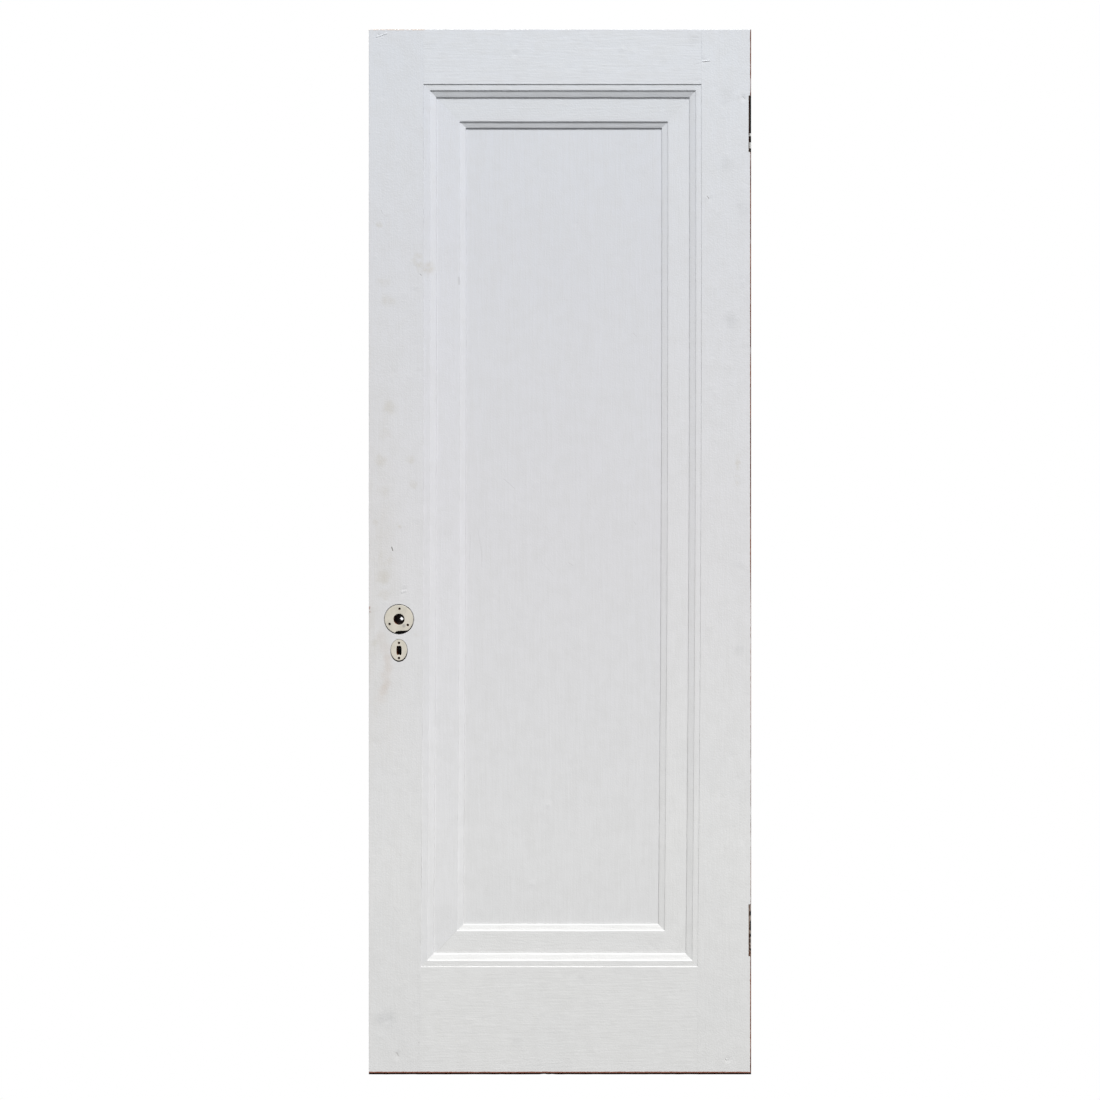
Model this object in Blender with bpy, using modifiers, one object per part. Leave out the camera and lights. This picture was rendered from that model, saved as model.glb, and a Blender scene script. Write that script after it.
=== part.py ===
"""Painted one-panel wooden door leaf with its mortise lock.

Metres, +Z up, the front face towards -Y. The leaf is modelled in its own frame: x from the lock edge,
y from the front face towards the back, z from the bottom. An empty then carries it all, so that the
origin is the centre of the upper hinge gain's floor, where the leaf hangs.
"""

import math

import bmesh
import bpy
from mathutils import Matrix, Vector

# Leaf
LEAF_WIDTH = 0.762
LEAF_HEIGHT = 2.0828
LEAF_THICKNESS = 0.04445
# The stiles were trimmed out of square, so each has two widths, at the opening's upper and lower corner
LOCK_STILE_TOP_WIDTH = 0.1091
LOCK_STILE_BOTTOM_WIDTH = 0.1031
HINGE_STILE_TOP_WIDTH = 0.0991
HINGE_STILE_BOTTOM_WIDTH = 0.1066
TOP_RAIL_WIDTH = 0.1091
BOTTOM_RAIL_WIDTH = 0.2148
LOCK_EDGE_EASE = 0.0010
HINGE_EDGE_EASE = 0.0020
TOP_EDGE_EASE = 0.0010
BOTTOM_EDGE_EASE = 0.0030
# Clearance between pieces that touch
GAP = 0.0003

# Joinery
TENON_LENGTH = 0.060
TENON_THICKNESS = 0.0127
TENON_SETBACK = 0.020
TONGUE_LENGTH = 0.0095
TONGUE_THICKNESS = 0.012

# Panel frame, inwards from the joint with the stiles and rails
OUTER_STEP = 0.0012
FILLET_WIDTH = 0.0122
FILLET_STEP = 0.0016
OUTER_SLOPE_WIDTH = 0.0119
OUTER_SLOPE_DROP = 0.0032
BAND_OUTER_STEP = 0.0020
BAND_WIDTH = 0.0464
BAND_INNER_STEP = 0.0016
INNER_SLOPE_WIDTH = 0.0115
INNER_SLOPE_DROP = 0.0034
PANEL_STEP = 0.0022
PANEL_GROOVE_DEPTH = 0.010
PANEL_PLAY = 0.0005

# Hinge gains, in the right-hand edge and open to the front
GAIN_DEPTH = 0.0034
GAIN_BACK_SET = 0.00635
UPPER_GAIN_HEIGHT = 0.1116
UPPER_GAIN_BELOW_TOP = 0.1323
LOWER_GAIN_HEIGHT = 0.1026
LOWER_GAIN_ABOVE_BOTTOM = 0.2362
HINGE_PILOT_RADIUS = 0.0016
HINGE_PILOT_DEPTH = 0.022
HINGE_SCREW_END = 0.014
HINGE_SCREW_EDGE = 0.011

# How far past the faceplate's ends the lock stile is parted, so that collision can follow the lock's ways
LOCK_PART_MARGIN = 0.020

# Lock position
BACKSET = 0.060325
HUB_HEIGHT = 0.9074
KEY_BELOW_HUB = 0.0623

# Knob roses
ROSE_DIAMETER = 0.05715
ROSE_HOLE_DIAMETER = 0.0222
ROSE_RING_GAP = 0.0016
ROSE_SCREW_CIRCLE_RADIUS = 0.021
ROSE_SCREW_TURN = math.radians(87)
ROSE_SCREWS = 3
ROSE_BREAK_DROP = 0.0235
PLATE_THICKNESS = 0.0012
PLATE_RECESS_DEPTH = 0.0010
PLATE_EDGE_EASE = 0.0004
PLATE_SCREW_RADIUS = 0.00175
PLATE_PILOT_RADIUS = 0.0012
PLATE_PILOT_DEPTH = 0.010

# Keyhole plates
KEY_PLATE_WIDTH = 0.0333
KEY_PLATE_HEIGHT = 0.0445
KEY_PLATE_RING_GAP = 0.0006
KEY_PLATE_SCREW_PITCH = 0.0302
KEYHOLE_WIDTH = 0.0102
KEYHOLE_HEIGHT = 0.0185
KEYHOLE_CORNER = 0.003
KEYHOLE_BUMP = 0.0012

# Bores through the lock stile
SPINDLE_BORE_RADIUS = 0.012
KEY_BORE_MARGIN = 0.0005
BREAKOUT_HALF_ANGLE = math.radians(33)
BREAKOUT_TILT = math.radians(8)

# Lock case
CASE_DEPTH = 0.086
CASE_THICKNESS = 0.0159
CASE_SIDE = 0.0020
CASE_RIM = 0.0024
CASE_ABOVE_HUB = 0.024
CASE_BELOW_KEY = 0.020
CASE_KEY_RADIUS = 0.00325
CASE_KEY_SLOT_WIDTH = 0.0030
CASE_KEY_SLOT_DROP = 0.0130
CASE_KEY_RISE = 0.0045
GUIDE_POST_RADIUS = 0.0026
GUIDE_POST_FROM_EDGE = 0.040
GUIDE_POST_RISE = 0.002
CAP_SCREW_HEAD_RADIUS = 0.0022
CAP_SCREW_SHANK_RADIUS = 0.0012
CAP_SCREW_LENGTH = 0.007

# Faceplate
FACEPLATE_WIDTH = 0.0222
FACEPLATE_LENGTH = 0.1524
FACEPLATE_THICKNESS = 0.0024
FACEPLATE_SCREW_INSET = 0.008
FACEPLATE_SCREW_HEAD_RADIUS = 0.0038
FACEPLATE_SCREW_SHANK_RADIUS = 0.0019
FACEPLATE_SCREW_LENGTH = 0.022
SCREW_SLOT_WIDTH = 0.0008
SCREW_SLOT_DEPTH = 0.0008

# Hub
SPINDLE_SQUARE = 0.008
HUB_DRUM_RADIUS = 0.009
HUB_JOURNAL_RADIUS = 0.0072
HUB_ARM_REACH = 0.017
HUB_ARM_WIDTH = 0.005
HUB_ARM_THICKNESS = 0.006
HUB_TURN = math.radians(45)

# Bolts, both drawn in
BOLT_PLAY = 0.0004
BOLT_TAIL_THICKNESS = 0.004
LATCH_HEIGHT = 0.016
LATCH_THICKNESS = 0.0105
LATCH_HEAD_LENGTH = 0.028
LATCH_BEVEL_LENGTH = 0.010
LATCH_NOSE = 0.00275
LATCH_TRAVEL = 0.012
LATCH_RISER_WIDTH = 0.006
LATCH_RISER_DROP = 0.0053
LATCH_BAR_HEIGHT = 0.0035
LATCH_FINGER_WIDTH = 0.004
LATCH_FINGER_PLAY = 0.0015
LATCH_FINGER_CLEAR = 0.0025
DEAD_BOLT_HEIGHT = 0.022
DEAD_BOLT_THICKNESS = 0.009
DEAD_BOLT_HEAD_LENGTH = 0.030
DEAD_BOLT_REACH = 0.074
DEAD_BOLT_TRAVEL = 0.013
DEAD_BOLT_ABOVE_KEY = 0.025
TALON_WIDTH = 0.008
TALON_HEIGHT = 0.005

# Modelling
ROSE_SIDES = 56
ROUND_SIDES = 40
SMALL_SIDES = 16
PAST = 0.002
WELD = 0.000002
FLAT_ANGLE = math.radians(0.05)

# Places worked out from the sizes
MID = LEAF_THICKNESS / 2
OPENING_BOTTOM = BOTTOM_RAIL_WIDTH
OPENING_TOP = LEAF_HEIGHT - TOP_RAIL_WIDTH
KEY_HEIGHT = HUB_HEIGHT - KEY_BELOW_HUB
CASE_FRONT = MID - CASE_THICKNESS / 2
CASE_BACK = MID + CASE_THICKNESS / 2
CASE_NEAR = FACEPLATE_THICKNESS + GAP
CASE_FAR = CASE_NEAR + CASE_DEPTH
CASE_TOP = HUB_HEIGHT + CASE_ABOVE_HUB
CASE_BOTTOM = KEY_HEIGHT - CASE_BELOW_KEY
CAP_FRONT = CASE_BACK - CASE_SIDE
FACEPLATE_MIDDLE = (CASE_TOP + CASE_BOTTOM) / 2
LOCK_PART_LOW = FACEPLATE_MIDDLE - FACEPLATE_LENGTH / 2 - LOCK_PART_MARGIN
LOCK_PART_HIGH = FACEPLATE_MIDDLE + FACEPLATE_LENGTH / 2 + LOCK_PART_MARGIN
DEAD_BOLT_MIDDLE = KEY_HEIGHT + DEAD_BOLT_ABOVE_KEY
POST_HEIGHT = DEAD_BOLT_MIDDLE + GUIDE_POST_RISE
FINGER_NEAR = (
    BACKSET
    + HUB_ARM_REACH * math.sin(HUB_TURN)
    + HUB_ARM_WIDTH / 2 * math.cos(HUB_TURN)
    + LATCH_FINGER_PLAY
)
UPPER_GAIN_BOTTOM = LEAF_HEIGHT - UPPER_GAIN_BELOW_TOP - UPPER_GAIN_HEIGHT
LOWER_GAIN_BOTTOM = LOWER_GAIN_ABOVE_BOTTOM
GAIN_WIDTH = LEAF_THICKNESS - GAIN_BACK_SET
HANG_POINT = Vector((LEAF_WIDTH - GAIN_DEPTH, GAIN_WIDTH / 2, UPPER_GAIN_BOTTOM + UPPER_GAIN_HEIGHT / 2))

# Opening corners in the leaf's face, in order: lower left, upper left, upper right, lower right
CORNERS = [
    Vector((LOCK_STILE_BOTTOM_WIDTH, 0, OPENING_BOTTOM)),
    Vector((LOCK_STILE_TOP_WIDTH, 0, OPENING_TOP)),
    Vector((LEAF_WIDTH - HINGE_STILE_TOP_WIDTH, 0, OPENING_TOP)),
    Vector((LEAF_WIDTH - HINGE_STILE_BOTTOM_WIDTH, 0, OPENING_BOTTOM)),
]


def clear_scene():
    for item in list(bpy.data.objects):
        bpy.data.objects.remove(item)


def new_collection(name):
    collection = bpy.data.collections.new(name)
    bpy.context.scene.collection.children.link(collection)
    return collection


def new_material(name, colour, roughness, metallic=0.0):
    material = bpy.data.materials.new(name)
    material.use_nodes = True
    shader = material.node_tree.nodes["Principled BSDF"]
    shader.inputs["Base Color"].default_value = (*colour, 1)
    shader.inputs["Roughness"].default_value = roughness
    shader.inputs["Metallic"].default_value = metallic
    return material


def add_object(name, mesh, place=(0, 0, 0), turn=(0, 0, 0)):
    """A mesh object carried by the leaf's empty."""
    item = bpy.data.objects.new(name, mesh)
    parts.objects.link(item)
    item.parent = leaf
    item.location = place
    item.rotation_euler = turn
    return item


def mesh_from(name, work):
    bmesh.ops.recalc_face_normals(work, faces=work.faces)
    mesh = bpy.data.meshes.new(name)
    work.to_mesh(mesh)
    work.free()
    return mesh


def block(name, low, high):
    """A box between two corners."""
    low = Vector(low)
    high = Vector(high)
    work = bmesh.new()
    bmesh.ops.create_cube(work, size=1, matrix=Matrix.Diagonal((*(high - low), 1)))
    return add_object(name, mesh_from(name, work), (low + high) / 2)


def rod(name, radius, start, end, axis, sides=ROUND_SIDES):
    """A round bar along y or x, from start to end in its centre line."""
    start = Vector(start)
    end = Vector(end)
    work = bmesh.new()
    bmesh.ops.create_cone(
        work,
        cap_ends=True,
        segments=sides,
        radius1=radius,
        radius2=radius,
        depth=(end - start).length,
    )
    turn = (math.pi / 2, 0, 0) if axis == "y" else (0, math.pi / 2, 0)
    return add_object(name, mesh_from(name, work), (start + end) / 2, turn)


def flat_solid(name, outline, thickness):
    """A closed outline in the local XY plane, with its thickness centred on that plane."""
    curve = bpy.data.curves.new(name, "CURVE")
    curve.dimensions = "2D"
    curve.fill_mode = "BOTH"
    curve.extrude = thickness / 2
    spline = curve.splines.new("POLY")
    spline.points.add(len(outline) - 1)
    for point, (x, y) in zip(spline.points, outline):
        point.co = (x, y, 0, 1)
    spline.use_cyclic_u = True
    guide = bpy.data.objects.new(name, curve)
    bpy.context.scene.collection.objects.link(guide)
    bpy.context.view_layer.update()
    depsgraph = bpy.context.evaluated_depsgraph_get()
    filled = bpy.data.meshes.new_from_object(guide.evaluated_get(depsgraph))
    bpy.data.objects.remove(guide)
    work = bmesh.new()
    work.from_mesh(filled)
    bpy.data.meshes.remove(filled)
    bmesh.ops.remove_doubles(work, verts=work.verts, dist=WELD)
    bmesh.ops.dissolve_limit(work, angle_limit=FLAT_ANGLE, verts=work.verts, edges=work.edges)
    return mesh_from(name, work)


def board(name, outline, front, back):
    """A flat solid whose outline is given as x and z, between two depths."""
    mesh = flat_solid(name, outline, back - front)
    return add_object(name, mesh, (0, (front + back) / 2, 0), (math.pi / 2, 0, 0))


def use_as_tool(item):
    parts.objects.unlink(item)
    cutters.objects.link(item)
    item.hide_render = True
    item.display_type = "WIRE"


def boolean(target, tool, operation):
    use_as_tool(tool)
    modifier = target.modifiers.new(tool.name, "BOOLEAN")
    modifier.object = tool
    modifier.operation = operation
    modifier.solver = "EXACT"


def cut(target, tool):
    boolean(target, tool, "DIFFERENCE")


def join(target, tool):
    boolean(target, tool, "UNION")


def ease(item, width, on_line):
    """Rounds the edges of a board's two faces that lie on one side of its outline."""
    work = bmesh.new()
    work.from_mesh(item.data)
    chosen = []
    for edge in work.edges:
        first, second = (vertex.co for vertex in edge.verts)
        if abs(first.z - second.z) < WELD and on_line(first) and on_line(second):
            chosen.append(edge)
    bmesh.ops.bevel(work, geom=chosen, offset=width, segments=2, profile=0.5, affect="EDGES")
    work.to_mesh(item.data)
    work.free()


def bevel(item, width, angle):
    modifier = item.modifiers.new("eased edges", "BEVEL")
    modifier.width = width
    modifier.segments = 2
    modifier.limit_method = "ANGLE"
    modifier.angle_limit = angle


def paint(item, material):
    item.data.materials.clear()
    item.data.materials.append(material)


def arc(centre, radii, start, end, steps):
    """Points round an ellipse, its end left out."""
    points = []
    for index in range(steps):
        angle = start + (end - start) * index / steps
        points.append((centre[0] + radii[0] * math.cos(angle), centre[1] + radii[1] * math.sin(angle)))
    return points


def ellipse(centre, radii, sides=ROUND_SIDES):
    return arc(centre, radii, 0, math.tau, sides)


def stile_edge(corner_low, corner_high, height):
    """x of a stile's leaning inner edge at a height."""
    share = (height - corner_low.z) / (corner_high.z - corner_low.z)
    return corner_low.x + (corner_high.x - corner_low.x) * share


def side_frame(index):
    """A side of the opening: its first corner, its second, its direction and its inward normal."""
    first = CORNERS[index % 4]
    second = CORNERS[(index + 1) % 4]
    along = (second - first).normalized()
    inward = Vector((0, 1, 0)).cross(along)
    return first, second, along, inward


def inset_corner(index, distance):
    """The opening's corner, moved so that it is a distance inside both of its sides."""
    before = side_frame(index - 1)[3]
    after = side_frame(index)[3]
    return CORNERS[index % 4] + (before + after) * (distance / (1 + before.dot(after)))


def opening_outline(distance):
    corners = [inset_corner(index, distance) for index in range(4)]
    return [(corner.x, corner.z) for corner in corners]


def groove_tool(index):
    """What the panel frame's tongue needs cut in the stile or rail along one side of the opening."""
    first, second, along, inward = side_frame(index)
    depth = TONGUE_LENGTH + GAP
    reach = depth + GAP
    start = first - along * reach
    end = second + along * reach
    corners = [start - inward * depth, end - inward * depth, end + inward * PAST, start + inward * PAST]
    half = TONGUE_THICKNESS / 2 + GAP
    name = f"groove_{index}"
    return board(name, [(corner.x, corner.z) for corner in corners], MID - half, MID + half)


def make_stile(name, side, low, high):
    """A stile, or the part of it between two heights, on one side: 0 left, 1 right."""
    outer = (0, LEAF_WIDTH)[side]
    outer_ease = (LOCK_EDGE_EASE, HINGE_EDGE_EASE)[side]
    corner_low = (CORNERS[0], CORNERS[3])[side]
    corner_high = (CORNERS[1], CORNERS[2])[side]
    inner_low = stile_edge(corner_low, corner_high, low)
    inner_high = stile_edge(corner_low, corner_high, high)
    outline = [(outer, low), (inner_low, low), (inner_high, high), (outer, high)]
    stile = board(name, outline, 0, LEAF_THICKNESS)
    ease(stile, outer_ease, lambda point: abs(point.x - outer) < WELD)
    if high == LEAF_HEIGHT:
        ease(stile, TOP_EDGE_EASE, lambda point: abs(point.y - LEAF_HEIGHT) < WELD)
    if low == 0:
        ease(stile, BOTTOM_EDGE_EASE, lambda point: abs(point.y) < WELD)
    paint(stile, painted_wood)
    cut(stile, groove_tool(2 * side))
    return stile


def tenon_boxes(low, high):
    """Both tenons of a rail that reaches from low to high, as lowest and highest corners."""
    left = min(stile_edge(CORNERS[0], CORNERS[1], low), stile_edge(CORNERS[0], CORNERS[1], high))
    right = max(stile_edge(CORNERS[3], CORNERS[2], low), stile_edge(CORNERS[3], CORNERS[2], high))
    root = TENON_SETBACK
    half = TENON_THICKNESS / 2
    bottom = low + TENON_SETBACK
    top = high - TENON_SETBACK
    boxes = [
        ((left - TENON_LENGTH, MID - half, bottom), (left + root, MID + half, top)),
        ((right - root, MID - half, bottom), (right + TENON_LENGTH, MID + half, top)),
    ]
    return boxes


def make_rail(name, low, high, groove_index):
    outline = [
        (stile_edge(CORNERS[0], CORNERS[1], low) + GAP, low),
        (stile_edge(CORNERS[3], CORNERS[2], low) - GAP, low),
        (stile_edge(CORNERS[3], CORNERS[2], high) - GAP, high),
        (stile_edge(CORNERS[0], CORNERS[1], high) + GAP, high),
    ]
    rail = board(name, outline, 0, LEAF_THICKNESS)
    if low == 0:
        ease(rail, BOTTOM_EDGE_EASE, lambda point: abs(point.y) < WELD)
    else:
        ease(rail, TOP_EDGE_EASE, lambda point: abs(point.y - LEAF_HEIGHT) < WELD)
    paint(rail, painted_wood)
    cut(rail, groove_tool(groove_index))
    for side, (corner, opposite) in zip(("left", "right"), tenon_boxes(low, high)):
        join(rail, block(f"{name}_{side}_tenon", corner, opposite))
    return rail


def cut_mortise(stile, side, label, low, high):
    """A blind mortise for one tenon of the rail that reaches from low to high."""
    margin = Vector((GAP, GAP, GAP))
    corner, opposite = tenon_boxes(low, high)[side]
    cut(stile, block(f"{stile.name}_{label}_mortise", Vector(corner) - margin, Vector(opposite) + margin))


def moulding_profile():
    """Cross-section of the panel frame: how far in from the joint, and how deep from the front face."""
    run = 0
    depth = OUTER_STEP
    front = [(run, depth)]
    steps = [
        (FILLET_WIDTH, 0),
        (0, FILLET_STEP),
        (OUTER_SLOPE_WIDTH, OUTER_SLOPE_DROP),
        (0, BAND_OUTER_STEP),
        (BAND_WIDTH, 0),
        (0, BAND_INNER_STEP),
        (INNER_SLOPE_WIDTH, INNER_SLOPE_DROP),
        (0, PANEL_STEP - GAP),
    ]
    for inwards, down in steps:
        run += inwards
        depth += down
        front.append((run, depth))
    front.append((run - PANEL_GROOVE_DEPTH, depth))
    back = [(inwards, LEAF_THICKNESS - down) for inwards, down in reversed(front)]
    half = TONGUE_THICKNESS / 2
    tongue = [(0, MID + half), (-TONGUE_LENGTH, MID + half), (-TONGUE_LENGTH, MID - half), (0, MID - half)]
    shifted = [(inwards + GAP, down) for inwards, down in front + back + tongue]
    return shifted


def make_moulding(name, index):
    """One side of the panel frame: the cross-section along the opening's side, mitred at both ends."""
    first, second, along, inward = side_frame(index)
    length = (second - first).length
    spare = 2 * TONGUE_LENGTH + PAST
    mesh = flat_solid(name, moulding_profile(), length + 2 * spare)
    work = bmesh.new()
    work.from_mesh(mesh)
    for end in (-1, 1):
        other = side_frame(index + end)[3]
        bisector = (inward + other).normalized()
        facing = Vector((-bisector.dot(along), 0, bisector.dot(inward)))
        facing *= math.copysign(1, facing.z * end)
        corner = Vector((0, 0, end * length / 2)) - facing * (GAP / 2)
        cut_geometry = bmesh.ops.bisect_plane(
            work,
            geom=work.verts[:] + work.edges[:] + work.faces[:],
            plane_co=corner,
            plane_no=facing,
            clear_outer=True,
        )["geom_cut"]
        rim = [item for item in cut_geometry if isinstance(item, bmesh.types.BMEdge)]
        bmesh.ops.contextual_create(work, geom=rim)
    turn = Matrix((inward, Vector((0, 1, 0)), along)).transposed().to_euler()
    member = add_object(name, mesh_from(name, work), (first + second) / 2, turn)
    paint(member, painted_wood)
    return member


def make_panel():
    inset = (
        FILLET_WIDTH
        + OUTER_SLOPE_WIDTH
        + BAND_WIDTH
        + INNER_SLOPE_WIDTH
        + GAP
        - PANEL_GROOVE_DEPTH
        + PANEL_PLAY
    )
    depth = (
        OUTER_STEP
        + FILLET_STEP
        + OUTER_SLOPE_DROP
        + BAND_OUTER_STEP
        + BAND_INNER_STEP
        + INNER_SLOPE_DROP
        + PANEL_STEP
    )
    panel = board("panel", opening_outline(inset), depth, LEAF_THICKNESS - depth)
    paint(panel, painted_wood)
    return panel


def cut_gain(stile, name, bottom, height):
    """A hinge leaf's seat, open to the front face, with four pilot holes."""
    floor = LEAF_WIDTH - GAIN_DEPTH
    cut(stile, block(name, (floor, -PAST, bottom), (LEAF_WIDTH + PAST, GAIN_WIDTH, bottom + height)))
    low = bottom + HINGE_SCREW_END
    high = bottom + height - HINGE_SCREW_END
    near = HINGE_SCREW_EDGE
    far = GAIN_WIDTH - HINGE_SCREW_EDGE
    places = [(near, low), (far, low + HINGE_SCREW_END), (far, high - HINGE_SCREW_END), (near, high)]
    for number, (depth, place) in enumerate(places):
        start = (floor - HINGE_PILOT_DEPTH, depth, place)
        end = (floor + PAST, depth, place)
        cut(stile, rod(f"{name}_pilot_{number}", HINGE_PILOT_RADIUS, start, end, "x", SMALL_SIDES))


def plate_outline_key(grow=0):
    return ellipse((BACKSET, KEY_HEIGHT), (KEY_PLATE_WIDTH / 2 + grow, KEY_PLATE_HEIGHT / 2 + grow))


def keyhole_outline(grow=0):
    """The plates' tall opening: round upper corners and a small bump left in its lower edge."""
    half = KEYHOLE_WIDTH / 2 + grow
    top = KEY_HEIGHT + KEYHOLE_HEIGHT / 2 + grow
    low = KEY_HEIGHT - KEYHOLE_HEIGHT / 2 - grow
    corner = KEYHOLE_CORNER
    bump = KEYHOLE_BUMP
    points = [(BACKSET - half, low), (BACKSET - bump, low), (BACKSET, low + bump), (BACKSET + bump, low)]
    points.append((BACKSET + half, low))
    centre = (BACKSET + half - corner, top - corner)
    points += arc(centre, (corner, corner), 0, math.pi / 2, 5)
    centre = (BACKSET - half + corner, top - corner)
    points += arc(centre, (corner, corner), math.pi / 2, math.pi, 5)
    points.append((BACKSET - half, top - corner))
    return points


def lock_keyhole_outline():
    """The lock's own keyhole: a round for the key's shank and a narrow slot below it for the bit."""
    middle = (BACKSET, KEY_HEIGHT + CASE_KEY_RISE)
    half_slot = CASE_KEY_SLOT_WIDTH / 2
    lean = math.asin(half_slot / CASE_KEY_RADIUS)
    radii = (CASE_KEY_RADIUS, CASE_KEY_RADIUS)
    points = arc(middle, radii, -math.pi / 2 + lean, 3 * math.pi / 2 - lean, SMALL_SIDES)
    points.append((BACKSET - half_slot, middle[1] - CASE_KEY_RADIUS * math.cos(lean)))
    points.append((BACKSET - half_slot, middle[1] - CASE_KEY_SLOT_DROP))
    points.append((BACKSET + half_slot, middle[1] - CASE_KEY_SLOT_DROP))
    return points


def rose_screw_places():
    places = []
    for number in range(ROSE_SCREWS):
        angle = ROSE_SCREW_TURN + math.tau * number / ROSE_SCREWS
        x = BACKSET + ROSE_SCREW_CIRCLE_RADIUS * math.cos(angle)
        places.append((x, HUB_HEIGHT + ROSE_SCREW_CIRCLE_RADIUS * math.sin(angle)))
    return places


def key_plate_screw_places():
    return [(BACKSET, KEY_HEIGHT + way * KEY_PLATE_SCREW_PITCH / 2) for way in (-1, 1)]


def cut_for_lock(stile):
    """The mortise, the faceplate's seat, the cross bores and the plates' shallow seats and pilot holes."""
    near = (-PAST, CASE_FRONT - GAP, CASE_BOTTOM - GAP)
    far = (CASE_FAR + GAP, CASE_BACK + GAP, CASE_TOP + GAP)
    cut(stile, block("case_mortise", near, far))
    half_width = FACEPLATE_WIDTH / 2 + GAP
    half_length = FACEPLATE_LENGTH / 2 + GAP
    near = (-PAST, MID - half_width, FACEPLATE_MIDDLE - half_length)
    far = (FACEPLATE_THICKNESS + GAP, MID + half_width, FACEPLATE_MIDDLE + half_length)
    cut(stile, block("faceplate_seat", near, far))
    for label, height in faceplate_screw_heights():
        start = (0, MID, height)
        end = (FACEPLATE_SCREW_LENGTH + PAST, MID, height)
        radius = FACEPLATE_SCREW_SHANK_RADIUS + GAP
        cut(stile, rod(f"{label}_faceplate_pilot", radius, start, end, "x", SMALL_SIDES))
    start = (BACKSET, -PAST, HUB_HEIGHT)
    end = (BACKSET, LEAF_THICKNESS + PAST, HUB_HEIGHT)
    cut(stile, rod("spindle_bore", SPINDLE_BORE_RADIUS, start, end, "y"))
    cut(stile, board("key_bore", keyhole_outline(KEY_BORE_MARGIN), -PAST, LEAF_THICKNESS + PAST))
    seat_radius = ROSE_DIAMETER / 2 + ROSE_RING_GAP
    for label, outer, inner, floor in (
        ("front", -PAST, PLATE_RECESS_DEPTH, PLATE_RECESS_DEPTH + PLATE_PILOT_DEPTH),
        (
            "back",
            LEAF_THICKNESS + PAST,
            LEAF_THICKNESS - PLATE_RECESS_DEPTH,
            LEAF_THICKNESS - PLATE_RECESS_DEPTH - PLATE_PILOT_DEPTH,
        ),
    ):
        low = min(outer, inner)
        high = max(outer, inner)
        start = (BACKSET, low, HUB_HEIGHT)
        end = (BACKSET, high, HUB_HEIGHT)
        cut(stile, rod(f"{label}_rose_seat", seat_radius, start, end, "y", ROSE_SIDES))
        cut(stile, board(f"{label}_key_plate_seat", plate_outline_key(KEY_PLATE_RING_GAP), low, high))
        for number, (x, z) in enumerate(rose_screw_places() + key_plate_screw_places()):
            name = f"{label}_plate_pilot_{number}"
            cut(stile, rod(name, PLATE_PILOT_RADIUS, (x, outer, z), (x, floor, z), "y", SMALL_SIDES))
    breakout = arc(
        (BACKSET, HUB_HEIGHT),
        (seat_radius - GAP, seat_radius - GAP),
        -math.pi / 2 + BREAKOUT_TILT - BREAKOUT_HALF_ANGLE,
        -math.pi / 2 + BREAKOUT_TILT + BREAKOUT_HALF_ANGLE,
        12,
    )
    inner = ROSE_BREAK_DROP - PAST
    breakout.append((breakout[-1][0], HUB_HEIGHT - inner))
    breakout.append((breakout[0][0], HUB_HEIGHT - inner))
    cut(stile, board("breakout", breakout, -PAST, MID))


def make_rose(name, front, back, broken):
    start = (BACKSET, front, HUB_HEIGHT)
    end = (BACKSET, back, HUB_HEIGHT)
    rose = rod(name, ROSE_DIAMETER / 2, start, end, "y", ROSE_SIDES)
    bevel(rose, PLATE_EDGE_EASE, math.radians(60))
    paint(rose, plated_brass)
    start = (BACKSET, front - PAST, HUB_HEIGHT)
    end = (BACKSET, back + PAST, HUB_HEIGHT)
    cut(rose, rod(f"{name}_hole", ROSE_HOLE_DIAMETER / 2, start, end, "y"))
    for number, (x, z) in enumerate(rose_screw_places()):
        start = (x, front - PAST, z)
        end = (x, back + PAST, z)
        cut(rose, rod(f"{name}_screw_hole_{number}", PLATE_SCREW_RADIUS, start, end, "y", SMALL_SIDES))
    if broken:
        cut(rose, board(f"{name}_break", break_outline(), front - PAST, back + PAST))
    return rose


def break_outline():
    """What has broken off the rose's lower edge: a wavering, nearly level line and all that was below it."""
    radius = ROSE_DIAMETER / 2
    left = -radius * math.sin(BREAKOUT_HALF_ANGLE - BREAKOUT_TILT)
    right = radius * math.sin(BREAKOUT_HALF_ANGLE + BREAKOUT_TILT)
    waver = (0.0011, 0.0002, -0.0003, 0.0003, -0.0001, 0.0004, 0.0012)
    points = []
    for number, rise in enumerate(waver):
        x = left + (right - left) * number / (len(waver) - 1)
        points.append((BACKSET + x, HUB_HEIGHT - ROSE_BREAK_DROP + rise))
    points.append((BACKSET + right + PAST, HUB_HEIGHT - radius - PAST))
    points.append((BACKSET + left - PAST, HUB_HEIGHT - radius - PAST))
    return points[::-1]


def make_key_plate(name, front, back):
    plate = board(name, plate_outline_key(), front, back)
    bevel(plate, PLATE_EDGE_EASE, math.radians(60))
    paint(plate, plated_brass)
    cut(plate, board(f"{name}_keyhole", keyhole_outline(), front - PAST, back + PAST))
    for number, (x, z) in enumerate(key_plate_screw_places()):
        start = (x, front - PAST, z)
        end = (x, back + PAST, z)
        cut(plate, rod(f"{name}_screw_hole_{number}", PLATE_SCREW_RADIUS, start, end, "y", SMALL_SIDES))
    return plate


def make_plates():
    front = PLATE_RECESS_DEPTH - GAP - PLATE_THICKNESS
    back = LEAF_THICKNESS - PLATE_RECESS_DEPTH + GAP
    make_rose("front_rose", front, front + PLATE_THICKNESS, True)
    make_rose("back_rose", back, back + PLATE_THICKNESS, False)
    make_key_plate("front_key_plate", front, front + PLATE_THICKNESS)
    make_key_plate("back_key_plate", back, back + PLATE_THICKNESS)


def bolt_tool(name, thickness, height, middle, near, far):
    """Clearance for a bolt through the faceplate and the case's front rim."""
    half = thickness / 2 + BOLT_PLAY
    rise = height / 2 + BOLT_PLAY
    return block(name, (near, MID - half, middle - rise), (far, MID + half, middle + rise))


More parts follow.
